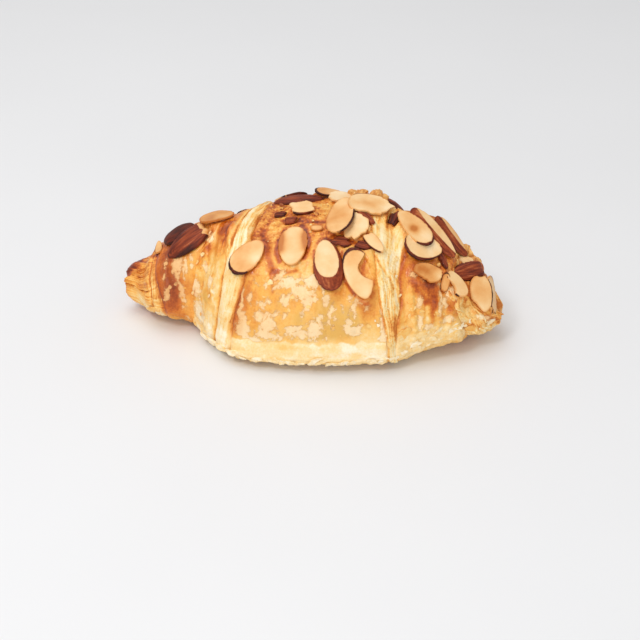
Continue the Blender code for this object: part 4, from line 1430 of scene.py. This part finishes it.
def right_end_surface(x, angle, plain, inside_left, inside_right):
    past = x - edge_at("right outer", angle)
    layer = past * 0.8 + 0.06 * angle + 1.4 * noise(plain, 6, 71)
    stack = np.stack([layer, angle / 60, 0 * x], axis=-1)
    leaves = noise(stack, 2.2, 72)
    corner = hump(36, 9, angle) * rise(79.5, 82, x)
    height = (
        -dive(past)
        + 1.1 * leaves
        + 0.35 * noise(stack, 0.8, 77)
        + 0.55 * noise(plain, 6, 73)
        + 0.40 * crumple(plain, 2.2, 74)
        + 0.7 * foot_layers(x, angle, 70)
        + 0.6 * END_FULLNESS * rise(77, 82, x)
        - 1.8 * hump(78, 26, angle) * rise(75, 82, x)
        + 1.0 * hump(26, 14, angle) * rise(77, 82, x)
    )
    bake = (
        0.24 + 0.10 * noise(plain, 4, 75)
        + 0.28 * rise(20, 50, angle) * rise(165, 130, angle) + 0.12 * crumple(plain, 3.0, 79)
        + 0.10 * hump(84, 3, x) + 0.35 * corner
        # Painted shade: darker in the hollows between the leaves of dough.
        + 0.30 * rise(0.1, -0.5, leaves)
        + stain(x, angle, RIGHT_END_STAINS, DEGREE_RIGHT)
    )
    return height, {
        "bake": bake, "torn": torn_field(x, angle, plain, TORN_RIGHT_END, 78, DEGREE_RIGHT),
        "cut": 0.50 + 0.3 * noise(plain, 5, 76), "layer": layer, "round": angle * DEGREE_RIGHT,
        "glaze": np.clip(0.8 * corner + 0.3 * rise(20, 50, angle), 0, 1), "crust": 0.35 + 0 * x,
    }


sheet(
    "left_tip",
    lambda angle: -TIP_END + END_CUT + NOTCH_DEPTH * hump(TIP_NOTCH, 11, angle),
    lambda angle: edge_at("collar", angle) + OVERLAP,
    columns=72,
    rows=340,
    surface=left_tip_surface,
    material=dough_finish,
    hems=(0, HEM_DEPTH),
)
sheet(
    "right_end",
    lambda angle: edge_at("right outer", angle) - OVERLAP,
    lambda angle: TIP_END - END_CUT + 0 * angle,
    columns=72,
    rows=360,
    surface=right_end_surface,
    material=dough_finish,
    hems=(HEM_DEPTH, 0),
)

# %% [markdown]
# ## Flakes of pastry
# Puff pastry sheds thin leaves. The larger ones stand off the base and the seams as ragged little
# slabs, and smaller chips of skin cling to the dough. Each is a ring grid with an angular outline, thin
# and a little curled, so its edge casts a real shadow.

# %% Leaves and chips
# x, angle, spin, far rise, height, length, width, thickness, bake
LEAVES = (
    (43.4, 8.0, 48, 12, 0.3, 9.5, 6.5, 0.6, 0.36),
    (70.0, -12.0, 10, 4, 0.1, 9.0, 4.0, 0.7, 0.42),
    (80.0, 40.0, -35, 8, 0.2, 9.0, 4.5, 0.9, 0.45),
    (-39.0, -8.0, 175, 8, 0.2, 9.0, 4.0, 0.8, 0.10),
    (-34.0, -4.0, 185, 8, 0.2, 8.0, 4.0, 0.8, 0.12),
    (-28.0, -5.0, 185, 7, 0.2, 8.0, 3.5, 0.8, 0.08),
    (48.0, -8.0, -5, 7, 0.2, 8.0, 4.0, 0.8, 0.16),
    (-67.0, -16.0, 185, 7, 0.2, 8.0, 4.0, 0.8, 0.34),
    (-38.0, 188.0, 10, 6, 0.2, 9.0, 4.5, 0.8, 0.20),
    (47.0, 188.0, 172, 6, 0.2, 9.0, 4.5, 0.8, 0.20),
)
LEAF_TURNS = 28
LEAF_SHARES = np.array([0.35, 0.7, 0.92, 1.0, 0.97, 0.6, 0.3])
LEAF_TOP_RINGS = 4


def leaf_piece(row, seed):
    """One ragged leaf of pastry, with the colours of its layers at the rim."""
    x, angle, spin, far, height, length, width, thickness, bake = row
    turn = np.linspace(0, 2 * np.pi, LEAF_TURNS, endpoint=False)
    corner = np.stack([1.6 * np.cos(turn), 1.6 * np.sin(turn), seed * 1.7 + 0 * turn], axis=-1)
    radius = 0.5 * (1 + 0.35 * crumple(corner, 1.1, 81))
    for k in range(4):
        direction = 2.4 * k + seed * 1.3
        reach = 0.34 + 0.10 * np.sin(seed * 3.1 + k * 2.0)
        towards = np.cos(turn - direction)
        radius = np.minimum(radius, np.where(towards > 0.2, reach / np.maximum(towards, 0.2), 9))
    share = LEAF_SHARES[:, None]
    u, w = length * share * radius * np.cos(turn), width * share * radius * np.sin(turn)
    ring = np.arange(len(LEAF_SHARES))[:, None]
    z = np.where(ring < LEAF_TOP_RINGS, thickness / 2, -thickness / 2) + 0 * u
    z[LEAF_TOP_RINGS - 1] = 0.2 * thickness
    curl = 0.6 * np.sin(seed * 2.1) * (u / length) ** 2 + 0.3 * np.cos(seed * 1.3) * (w / width)
    flat = np.stack([u, w, seed * 4.0 + 0 * u], axis=-1)
    z = z + curl * min(length, 5.0) * 0.25 + 0.10 * noise(flat, 1.6, 82) * min(1.0, length / 4)
    local = np.stack([u, w, z], axis=-1).reshape(-1, 3)
    local = np.concatenate([[(0, 0, z[0].mean())], local, [(0, 0, z[-1].mean())]])
    middle, axes = placed(x, angle, spin, far, 0, height)
    points = middle + local @ axes.T
    points[:, 2] = np.maximum(points[:, 2], UNDER_LEAST)
    edge = np.concatenate([[0], (np.where(ring >= LEAF_TOP_RINGS - 1, 1.0, 0.0) + 0 * u).ravel(), [1]])
    attributes = {
        "bake": bake + 0.08 * noise(points, 2.0, 83), "torn": -1 + 0 * edge, "cut": edge * 0.8,
        "glaze": 0 * edge, "crust": 0.1 + 0 * edge, "layer": local[:, 1], "round": local[:, 0],
    }
    return points, ring_faces(len(LEAF_SHARES), LEAF_TURNS), attributes


def base_leaves(count, x_range, angle_range, seed):
    """Small leaves along the base, lying flat or drooping."""
    pick = np.random.default_rng(seed)
    rows = []
    for _ in range(count):
        length = pick.uniform(3.0, 7.5)
        rows.append((
            pick.uniform(*x_range), pick.uniform(*angle_range), pick.normal(0, 14), pick.uniform(-14, 8),
            pick.uniform(-0.1, 0.35), length, length * pick.uniform(0.3, 0.55), pick.uniform(0.35, 0.7),
            pick.uniform(0.02, 0.12),
        ))
    return rows


def skin_chips(count, x_range, angle_range, seed, bake):
    """Chips of loosened skin, thin as paper."""
    pick = np.random.default_rng(seed)
    rows = []
    for _ in range(count):
        length = 1.0 + 2.6 * pick.random() ** 2
        rows.append((
            pick.uniform(*x_range), pick.uniform(*angle_range), pick.uniform(0, 360), pick.normal(0, 4),
            0.05 + 0.12 * pick.random(), length, length * pick.uniform(0.4, 0.9), pick.uniform(0.10, 0.16),
            bake + pick.uniform(-0.12, 0.10),
        ))
    return rows


# how many, range of x, range of angles, seed, and for chips how dark they are baked
BASE_LEAVES = (
    (26, (-30, 36), (-14, -4), 91), (12, (36, 66), (-12, 2), 92), (6, (-44, -30), (-14, -4), 93),
    (8, (62, 80), (-22, 4), 94), (26, (-34, 60), (180, 192), 95),
)
SKIN_CHIPS = (
    (36, (-27, 34), (8, 52), 96, 0.30), (5, (-60, -44), (0, 40), 97, 0.50),
    (20, (42, 66), (0, 26), 98, 0.34), (12, (-50, -32), (0, 60), 99, 0.20),
    (70, (-50, 62), (120, 185), 100, 0.34), (14, (62, 80), (0, 40), 101, 0.30),
    (16, (30, 42), (0, 50), 102, 0.18),
)
leaf_rows = list(LEAVES)
for spread in BASE_LEAVES:
    leaf_rows += base_leaves(*spread)
for spread in SKIN_CHIPS:
    leaf_rows += skin_chips(*spread)
print(len(leaf_rows), "leaves and chips of pastry")

# %% [markdown]
# ## Flaked almonds
# A flaked almond is a slice about a millimetre thick. Its cut face is cream to toasted tan, and the
# almond's brown skin shows as a rim round it, wide where the knife went through at a slant. The first
# slice off an almond is all skin: a low dome with furrows that meet at the point. Both are the same
# round grid: rings from the middle to the outline, over the rim and back underneath. Breaks and bites
# cut the outline off along toothed straight or hollow lines, as snapped almonds have. Small scraps of
# skin are flatter, with an outline that runs in straight stretches from corner to corner.

# %% A flat piece with any outline
TURNS = 84
BREAK_CORNERS = 30
BREAK_TEETH = (0.91, 1.05)
FAR_OFF = 99


def ring_faces(rings, turns):
    """Faces of rings of points, with a point in the middle at each end, facing out."""
    faces = []
    last = 1 + rings * turns
    for j in range(turns):
        following = (j + 1) % turns
        faces.append((0, 1 + j, 1 + following))
        faces.append((last, last - turns + following, last - turns + j))
        for ring in range(rings - 1):
            a, b = 1 + ring * turns, 1 + (ring + 1) * turns
            faces.append((a + j, b + j, b + following, a + following))
    return faces


def jagged(turn, corners, low, high, seed):
    """Shares of a radius that run in straight stretches between random corners."""
    reach = np.random.default_rng(seed).uniform(low, high, corners)
    return np.interp(turn, np.linspace(0, 2 * np.pi, corners + 1), [*reach, reach[0]])


def outline_radius(turn, almond, centre, seed):
    """How far the outline lies from the centre in each direction, and where it is a break."""
    half = np.array((almond.length, almond.width)) / 2
    arrow = np.stack([np.cos(turn), np.sin(turn)], axis=-1)
    scaled, start = arrow / half, np.array(centre) / half
    a, b, c = (scaled**2).sum(-1), (scaled * start).sum(-1), (start**2).sum() - 1
    radius = (-b + np.sqrt(b * b - a * c)) / a
    place = np.stack([3 * np.cos(turn), 3 * np.sin(turn), seed + 0 * turn], axis=-1)
    radius *= 1 + 0.018 * noise(place, 1.4) - 0.035 * rise(0.35, 0.6, noise(place, 0.5, 2))
    broken = np.zeros(len(turn), bool)
    for direction, share in almond.breaks:
        facing = np.array((np.cos(np.radians(direction)), np.sin(np.radians(direction))))
        reach = share / np.linalg.norm(facing / half) - facing @ centre
        towards = arrow @ facing
        limit = np.where(towards > 0.05, reach / np.maximum(towards, 0.05), FAR_OFF)
        limit = limit * (1 + 0.11 * crumple(place, 0.9, 3))
        limit = limit * jagged(turn, BREAK_CORNERS, *BREAK_TEETH, seed)
        broken |= limit < radius
        radius = np.minimum(radius, limit)
    if almond.bite:
        *middle, bite_radius = almond.bite
        hollow = np.array(middle) - centre
        towards = arrow @ hollow
        under_root = towards**2 - hollow @ hollow + bite_radius**2
        inner = towards - np.sqrt(np.maximum(under_root, 0))
        limit = np.where((under_root > 0) & (towards > 0), inner, FAR_OFF)
        limit = limit * (1 + 0.05 * crumple(place, 0.9, 4))
        broken |= limit < radius
        radius = np.minimum(radius, limit)
    return radius, broken


print("a piece of 20 rings has", len(ring_faces(20, TURNS)), "faces")

# %% The top of an almond
# number of the almond: u, w, radius and strength of darker and paler spots, in mm on its face
TOAST_AND_SHADE_SPOTS = {
    4: ((2.0, -4.6, 3.2, -0.5), (-3.0, 1.0, 4.5, 0.15)),
    # Almond 5 is pressed into the dough: its darker bands along both long sides are painted shade.
    5: tuple((u, side * 5.4, 2.3, 0.6) for u in (2, -1, -4, -7) for side in (-1, 1)) + ((7, 0, 4, -0.2),),
    13: ((-2, 0, 4.5, 0.25), (8, 0, 3, -0.2)),
    14: ((-1, 1, 4.0, 0.35), (6, -2, 4, -0.15)),
    18: ((-0.5, 1.2, 2.4, 0.8), (4, -1.5, 4, 0.2), (-6, -2, 3, -0.2)),
    19: ((4, 2, 3, -0.1),),
    25: ((1, 0, 3.5, 0.15), (5, -1, 2.5, -0.35), (-5, 1, 2, 0.2)),
    28: ((-2, 0, 5.0, 0.25), (7, -1, 3.5, -0.35)),
    30: ((0, 0, 4.0, 0.1),),
    32: ((-7, -1, 3, 0.1), (3, -3.5, 3, 0.1)),
}
SLICE_THICKNESS = 1.05
CAP_THICKNESS = 2.3
THICK_CAP = 3
CAP_SINK = 0.3
DOME_POWER = 2.4
SCRAP_POWER = 5.0
BROKEN_FROM = (0.78, 0.99)
PALE, BROWN = -0.6, 1.0
UNDER_SHARES = (1.0, 0.985, 0.93, 0.6, 0.25)
SCRAP_LENGTH = 15.0
SCRAP_CORNERS = 11
SCRAP_REACH = (0.66, 1.16)
SCRAP_FLATNESS = 0.75
NO_RIM = 0.5
ALMOND_POINT = 0.16
FACE_SHARES = np.concatenate([np.linspace(0.08, 0.8, 9), np.linspace(0.84, 1.0, 9)])
SKIN_SHARES = np.concatenate([np.linspace(0.05, 0.9, 18), np.linspace(0.93, 1.0, 5)])


def furrowed(u, w, length, width, seed):
    """Ridges along an almond's skin that run together at its ends, from 0 to 1."""
    narrow = np.sqrt(np.clip(1 - (u / (0.52 * length)) ** 2, 0.02, 1)) * width / 2
    across = w / narrow
    place = np.stack([across * 4.2 + 0.10 * np.sin(u / 2), u / 9, seed + 0 * u], axis=-1)
    fine = np.stack([across * 11, u / 6, seed + 0 * u], axis=-1)
    ridges = 0.40 * noise(place, 1.0, 5) + 0.60 * noise(fine, 1.0, 6)
    return np.clip(0.48 + 0.65 * ridges, 0, 1)


def rim(band):
    """Width of a band of skin, under 0 where there is none."""
    return band - NO_RIM * rise(0.3, 0, np.array(band))


def skin_top(almond, thickness, share, inwards, furrow, broken):
    """Height, underside and skin of a piece that is skin all over: a low dome, or a flatter scrap."""
    low = -CAP_SINK * thickness if thickness > CAP_THICKNESS else -thickness / 2
    power = SCRAP_POWER if almond.length < SCRAP_LENGTH else DOME_POWER
    dome = np.sqrt(np.clip(1 - share**power, 0, 1))
    z = low + thickness * dome + 0.26 * (furrow - 0.5) * rise(0, 0.25, dome)
    broken_from = BROKEN_FROM[0] if thickness > THICK_CAP else BROKEN_FROM[1]
    skin = np.where(broken & (share > broken_from), PALE, BROWN) + 0 * inwards
    return z, low - 0.25, skin


def cut_top(almond, share, radius, u, w, furrow, broken, steps):
    """Height, underside and skin of a slice: a flat face that falls off over its band of skin."""
    widest, narrowest = rim(almond.widest), rim(almond.narrowest)
    side_arrow = np.array((np.cos(np.radians(almond.skin_side)), np.sin(np.radians(almond.skin_side))))
    middle_u, middle_w = -0.5 * (widest - narrowest) * side_arrow
    half = np.array((almond.length, almond.width)) / 2 - narrowest
    half = half - 0.5 * (widest - narrowest) * np.abs(side_arrow)
    plain_w = w / (1 - ALMOND_POINT * u / (almond.length / 2))
    skin = (np.hypot((u - middle_u) / half[0], (plain_w - middle_w) / half[1]) - 1) * half.min()
    inwards = (1 - share) * radius
    fall = 1.1 * np.clip(skin / 3.0, 0, 1) ** 1.3 + 0.12 * rise(0.35, 0.0, inwards)
    z = almond.thickness / 2 - fall + 0.14 * (furrow - 0.5) * rise(0, 0.4, skin)
    wall = np.where(broken, -0.8, np.clip(2 * skin[steps - 1] - 0.25, -0.5, 0.5))
    ring = np.arange(len(share))[:, None]
    skin = np.where((ring >= steps - 1) & (inwards < 0.1 * radius), wall, skin)
    return z, almond.thickness / 2 - SLICE_THICKNESS, skin


print("a cut face has", len(FACE_SHARES), "rings and a skin", len(SKIN_SHARES))

# %% One almond


def almond_piece(almond, seed):
    """Points, faces and attributes of one almond on the dough."""
    length, width, thickness = almond.length, almond.width, almond.thickness
    all_skin = almond.face == "skin"
    centre = np.array((0.0, -0.3 * width if almond.bite else 0.0))
    turn = np.linspace(0, 2 * np.pi, TURNS, endpoint=False)
    radius, broken = outline_radius(turn, almond, centre, seed)
    if all_skin and length < SCRAP_LENGTH:
        radius = radius * jagged(turn, SCRAP_CORNERS, *SCRAP_REACH, seed)
        thickness = thickness * SCRAP_FLATNESS
    shares = SKIN_SHARES if all_skin else FACE_SHARES
    steps = len(shares)
    share = np.concatenate([shares, UNDER_SHARES])[:, None]
    u = centre[0] + share * radius * np.cos(turn)
    w = centre[1] + share * radius * np.sin(turn)
    w = w * (1 - ALMOND_POINT * u / (length / 2))
    inwards = (1 - share) * radius
    furrow = furrowed(u, w, length, width, seed)
    if all_skin:
        z, base, skin = skin_top(almond, thickness, share, inwards, furrow, broken)
    else:
        furrow = furrow - 0.30 * rise(4, 2.5, rim(almond.widest))
        z, base, skin = cut_top(almond, share, radius, u, w, furrow, broken, steps)
    z = np.broadcast_to(z, u.shape).copy()
    z[steps] = base + 0.62 * (z[steps - 1] - base)
    z[steps + 1] = base + 0.15 * (z[steps - 1] - base)
    z[steps + 2:] = base
    flat = np.stack([u, w, seed * 9.0 + 0 * u], axis=-1)
    z = z + (
        0.16 * noise(flat.reshape(-1, 3), 5.0, 8).reshape(u.shape)
        + 0.35 * np.sin(seed * 2.4) * (u / (length / 2)) ** 2
    )
    # Toast, with the spots added; on almond 5 they paint shade along its sides.
    toast_and_shade = almond.toast + 0.26 * rise(0.9, 0.0, inwards)
    for spot_u, spot_w, spot_radius, strength in TOAST_AND_SHADE_SPOTS.get(seed, ()):
        toast_and_shade = toast_and_shade + strength * np.exp(-((u - spot_u) ** 2 + (w - spot_w) ** 2) / spot_radius**2)

    def spread(values):
        """One number a point, with the two middles as the means of the rings beside them."""
        values = np.broadcast_to(values, u.shape)
        return np.concatenate([[values[0].mean()], values.ravel(), [values[-1].mean()]])

    local = np.stack([spread(values) for values in (u, w, z)], axis=-1)
    local[[0, -1], :2] = centre
    middle, axes = almond_place(almond)
    # The toast attribute also carries the painted shade along almond 5's sides.
    attributes = {"skin": spread(skin), "toast": spread(toast_and_shade), "furrow": spread(furrow)}
    return middle + local @ axes.T, ring_faces(len(share), TURNS), attributes


def joined(name, pieces, material):
    """One object from several pieces of points, faces and attributes."""
    points, faces, attributes = [], [], {}
    count = 0
    for piece_points, piece_faces, piece_attributes in pieces:
        points.append(piece_points)
        faces.extend([tuple(corner + count for corner in face) for face in piece_faces])
        for label, values in piece_attributes.items():
            attributes.setdefault(label, []).append(values)
        count += len(piece_points)
    attributes = {label: np.concatenate(values) for label, values in attributes.items()}
    dress(mesh_object(name, np.concatenate(points), faces, attributes, material))


print("the first almond has", len(almond_piece(ALMONDS[0], 0)[0]), "points")

# %% The almonds' finish


def almond_finish():
    """Cream to tan cut faces, and furrowed red-brown skin, with a ragged edge between them."""
    almond = Finish("almond", IOR=1.45, Specular_IOR_Level=0.3)
    place = almond.mm()
    fine = almond.speckle(place, 0.35, 3.0, 0.6)
    middling = almond.speckle(place, 1.5, 2.0)
    broad = almond.speckle(place, 5.0, 1.0)
    toast = almond.point("toast") + (broad - 0.5) * 0.8 + (middling - 0.5) * 0.3 + (fine - 0.5) * 0.1
    face = almond.ramp(toast, (
        (0.00, tint("F8DDB2")),
        (0.22, tint("F3CB94")),
        (0.45, tint("EDB97A")),
        (0.70, tint("E2A05A")),
        (0.98, tint("C47430")),
    ))
    furrow = almond.point("furrow") + (fine - 0.5) * 0.3 - (almond.point("toast") - 0.5) * 0.7
    brown = almond.ramp(furrow, (
        (0.10, tint("3E1207")),
        (0.42, tint("742B12")),
        (0.72, tint("9A431F")),
        (0.95, tint("C0723F")),
    ))
    ragged = almond.point("skin") + (middling - 0.5) * 0.5 + (fine - 0.5) * 0.3
    skin = ragged.between(-0.05, 0.08)
    browned = ragged.between(-0.45, 0.1)
    face = almond.mix(browned * 0.4, face, tint("CF8A45"))
    height = fine * 0.3 + middling * 0.3 + skin * furrow * 0.8
    return almond.finish(
        Base_Color=almond.mix(skin, face, brown),
        Roughness=0.42 + skin * 0.13 + (fine - 0.5) * 0.2,
        Coat_Weight=0.10 - skin * 0.08,
        Normal=almond.bump(height, 0.12),
    )


joined("pastry_leaves", [leaf_piece(row, seed) for seed, row in enumerate(leaf_rows)], dough_finish)
almond_material = almond_finish()
for face, name in (("cut", "almond_slices"), ("skin", "almond_skins")):
    pieces = [almond_piece(almond, seed) for seed, almond in enumerate(ALMONDS) if almond.face == face]
    joined(name, pieces, almond_material)

# %% [markdown]
# ## Almond cream and crumbs
# Between the almonds the cream has baked to a crumbly crust. Larger lumps are balls that noise has
# knocked out of shape, and small crumbs lie where no almond covers the dough.

# %% Lumps and crumbs


def ball(subdivisions):
    """Points and faces of an even ball of radius 1."""
    mesh = bmesh.new()
    bmesh.ops.create_icosphere(mesh, subdivisions=subdivisions, radius=1)
    points = np.array([vert.co for vert in mesh.verts])
    faces = [tuple(vert.index for vert in face.verts) for face in mesh.faces]
    mesh.free()
    return points, faces


FINE_BALL, COARSE_BALL = ball(5), ball(2)


def knobbly(shape, size, axes, middle, seed, tone):
    """A ball stretched to the size and made rough."""
    points, faces = shape
    local = points * np.array(size) / 2
    place = local + seed * 5.3
    rough = 1 + 0.42 * crumple(place, np.mean(size) * 0.42, 9) + 0.10 * noise(place, 0.8, 10)
    local = local * rough[:, None]
    return middle + local @ axes.T, faces, {"tone": tone + 0.3 * noise(place, 1.5, 12)}


COVER_DEPTH = 6


def covered(points, margin):
    """True for points under or beside an almond."""
    hidden = np.zeros(len(points), bool)
    for almond in ALMONDS:
        middle, axes = almond_place(almond)
        offset = (points - middle) @ axes
        reach = share_of_reach(almond, offset)
        hidden |= (reach < margin) & (np.abs(offset[:, 2]) < COVER_DEPTH)
    return hidden


def crumbs(count, seed):
    """Crumbs of almond cream on the browned top: count random places, less those that are covered."""
    pick = np.random.default_rng(seed)
    x = pick.uniform(-19, 68, count)
    angle = 94 + 28 * np.clip(pick.normal(size=count), -1.4, 2.2)
    size = 0.5 + 1.6 * pick.random(count) ** 3
    places = dough_surface(x, angle)
    out = outward(x, angle)
    places = places + out * bed(places, out)[0][:, None]
    made = []
    on_band = (x > 25) & (x < 46) & (angle < 84)
    on_glaze = (x < 8) & (angle < 100) & (pick.random(count) > 0.3)
    for k in np.flatnonzero(~covered(places, 1.2) & (angle > 62) & ~on_band & ~on_glaze):
        axes = turned(pick.uniform(0, 360), 2) @ turned(pick.uniform(0, 360), 0)
        sides = size[k] * pick.uniform(0.5, 1.4, 3)
        middle = places[k] + out[k] * 0.15 * size[k]
        made.append(knobbly(COARSE_BALL, sides, axes, middle, k, pick.uniform(0, 1)))
    return made


print("a lump is a ball of", len(FINE_BALL[0]), "points")

# %% The cream's finish


def cream_finish():
    """Baked almond cream, from pale to browned."""
    cream = Finish("almond cream", IOR=1.45)
    place = cream.mm()
    fine = cream.speckle(place, 0.4, 3.0, 0.6)
    middling = cream.speckle(place, 1.4, 2.0)
    tone = cream.point("tone") + (middling - 0.5) * 0.8 + (fine - 0.5) * 0.4
    colour = cream.ramp(tone, (
        (0.0, tint("964A18")),
        (0.3, tint("CB7C30")),
        (0.6, tint("E5A756")),
        (1.0, tint("F4CD88")),
    ))
    return cream.finish(
        Base_Color=colour,
        Roughness=0.45 + fine * 0.2,
        Coat_Weight=0.3 - fine * 0.2,
        Normal=cream.bump(fine * 0.6 + middling * 0.4, 0.2),
    )


cream_material = cream_finish()
lumps = []
for seed, (x, angle, spin, height, length, width, thickness) in enumerate(LUMPS):
    middle, axes = placed(x, angle, spin, 0, 0, height)
    lumps.append(knobbly(FINE_BALL, (length, width, thickness), axes, middle, seed, 0.55))
joined("almond_cream", lumps, cream_material)
crumb_pieces = crumbs(900, 8)
print(len(crumb_pieces), "crumbs")
joined("cream_crumbs", crumb_pieces, cream_material)

# %% [markdown]
# ## Camera, light and floor
# The camera looks down at about 30 degrees, from a little to the right. The light is a large soft source
# overhead, a gentle fill from the front and a small window at the front left that makes glaze shine,
# over a plain pale floor.

# %% The camera
IMAGE_SIZE = 640
FOCAL_PIXELS = 1530.0
SENSOR = 36.0
CAMERA_PITCH = np.radians(29.865)
CAMERA_TURN = np.radians(7.0)
CAMERA_PLACE = (3.6, -587.94, 337.67)


def make_camera():
    data = bpy.data.cameras.new("camera")
    data.sensor_width = SENSOR
    data.lens = FOCAL_PIXELS * SENSOR / IMAGE_SIZE
    data.clip_start = 0.05
    camera = bpy.data.objects.new("camera", data)
    right, back, up = CAMERA_PLACE
    turn_cos, turn_sin = np.cos(CAMERA_TURN), np.sin(CAMERA_TURN)
    place = (right * turn_cos - back * turn_sin, right * turn_sin + back * turn_cos, up)
    camera.location = Vector(place) * MM
    camera.rotation_euler = (np.pi / 2 - CAMERA_PITCH, 0, CAMERA_TURN)
    bpy.context.scene.collection.objects.link(camera)
    bpy.context.scene.camera = camera


make_camera()
print("the camera is", round(np.linalg.norm(CAMERA_PLACE)), "mm from the middle of the base")

# %% The light
WORLD_STRENGTH = 0.56
LIGHTS = (
    # name, place in m, aim in m, side lengths in m, power in W
    ("overhead", (-0.25, 0.10, 1.05), (0, 0, 0.02), (1.0, 0.8), 4.3),
    ("front_fill", (0.15, -1.15, 0.40), (0, 0, 0.02), (0.9, 0.5), 3.7),
    ("window", (-0.35, -0.6, 0.9), (0, 0, 0.02), (0.20, 0.20), 2.6),
)


def make_light(name, place, aim, sides, power):
    data = bpy.data.lights.new(name, "AREA")
    data.shape = "RECTANGLE"
    data.size, data.size_y = sides
    data.energy = power
    light = bpy.data.objects.new(name, data)
    light.location = place
    light.rotation_euler = (Vector(aim) - Vector(place)).to_track_quat("-Z", "Y").to_euler()
    bpy.context.scene.collection.objects.link(light)


for light in LIGHTS:
    make_light(*light)
world = bpy.data.worlds.new("soft room")
world.use_nodes = True
world.node_tree.nodes["Background"].inputs["Color"].default_value = (1.0, 1.0, 1.0, 1.0)
world.node_tree.nodes["Background"].inputs["Strength"].default_value = WORLD_STRENGTH
bpy.context.scene.world = world
bpy.context.scene.view_settings.view_transform = "Standard"
print(len(LIGHTS), "lights of", sum(light[-1] for light in LIGHTS), "W together")

# %% The floor
FLOOR_SIDE = 6.0
floor_finish = Finish("pale floor", Roughness=0.6)
paleness = floor_finish.speckle(floor_finish.mm(), 60.0)
floor_finish.finish(Base_Color=floor_finish.mix(paleness, tint("E6E6E7"), tint("EAEAEB")))
half_floor = FLOOR_SIDE / 2 / MM
floor = mesh_object(
    "floor",
    [(-half_floor, -half_floor, 0), (half_floor, -half_floor, 0), (half_floor, half_floor, 0),
     (-half_floor, half_floor, 0)],
    [(0, 1, 2, 3)],
    {},
    floor_finish.material,
)
print("the floor is", FLOOR_SIDE, "m wide")

# %% [markdown]
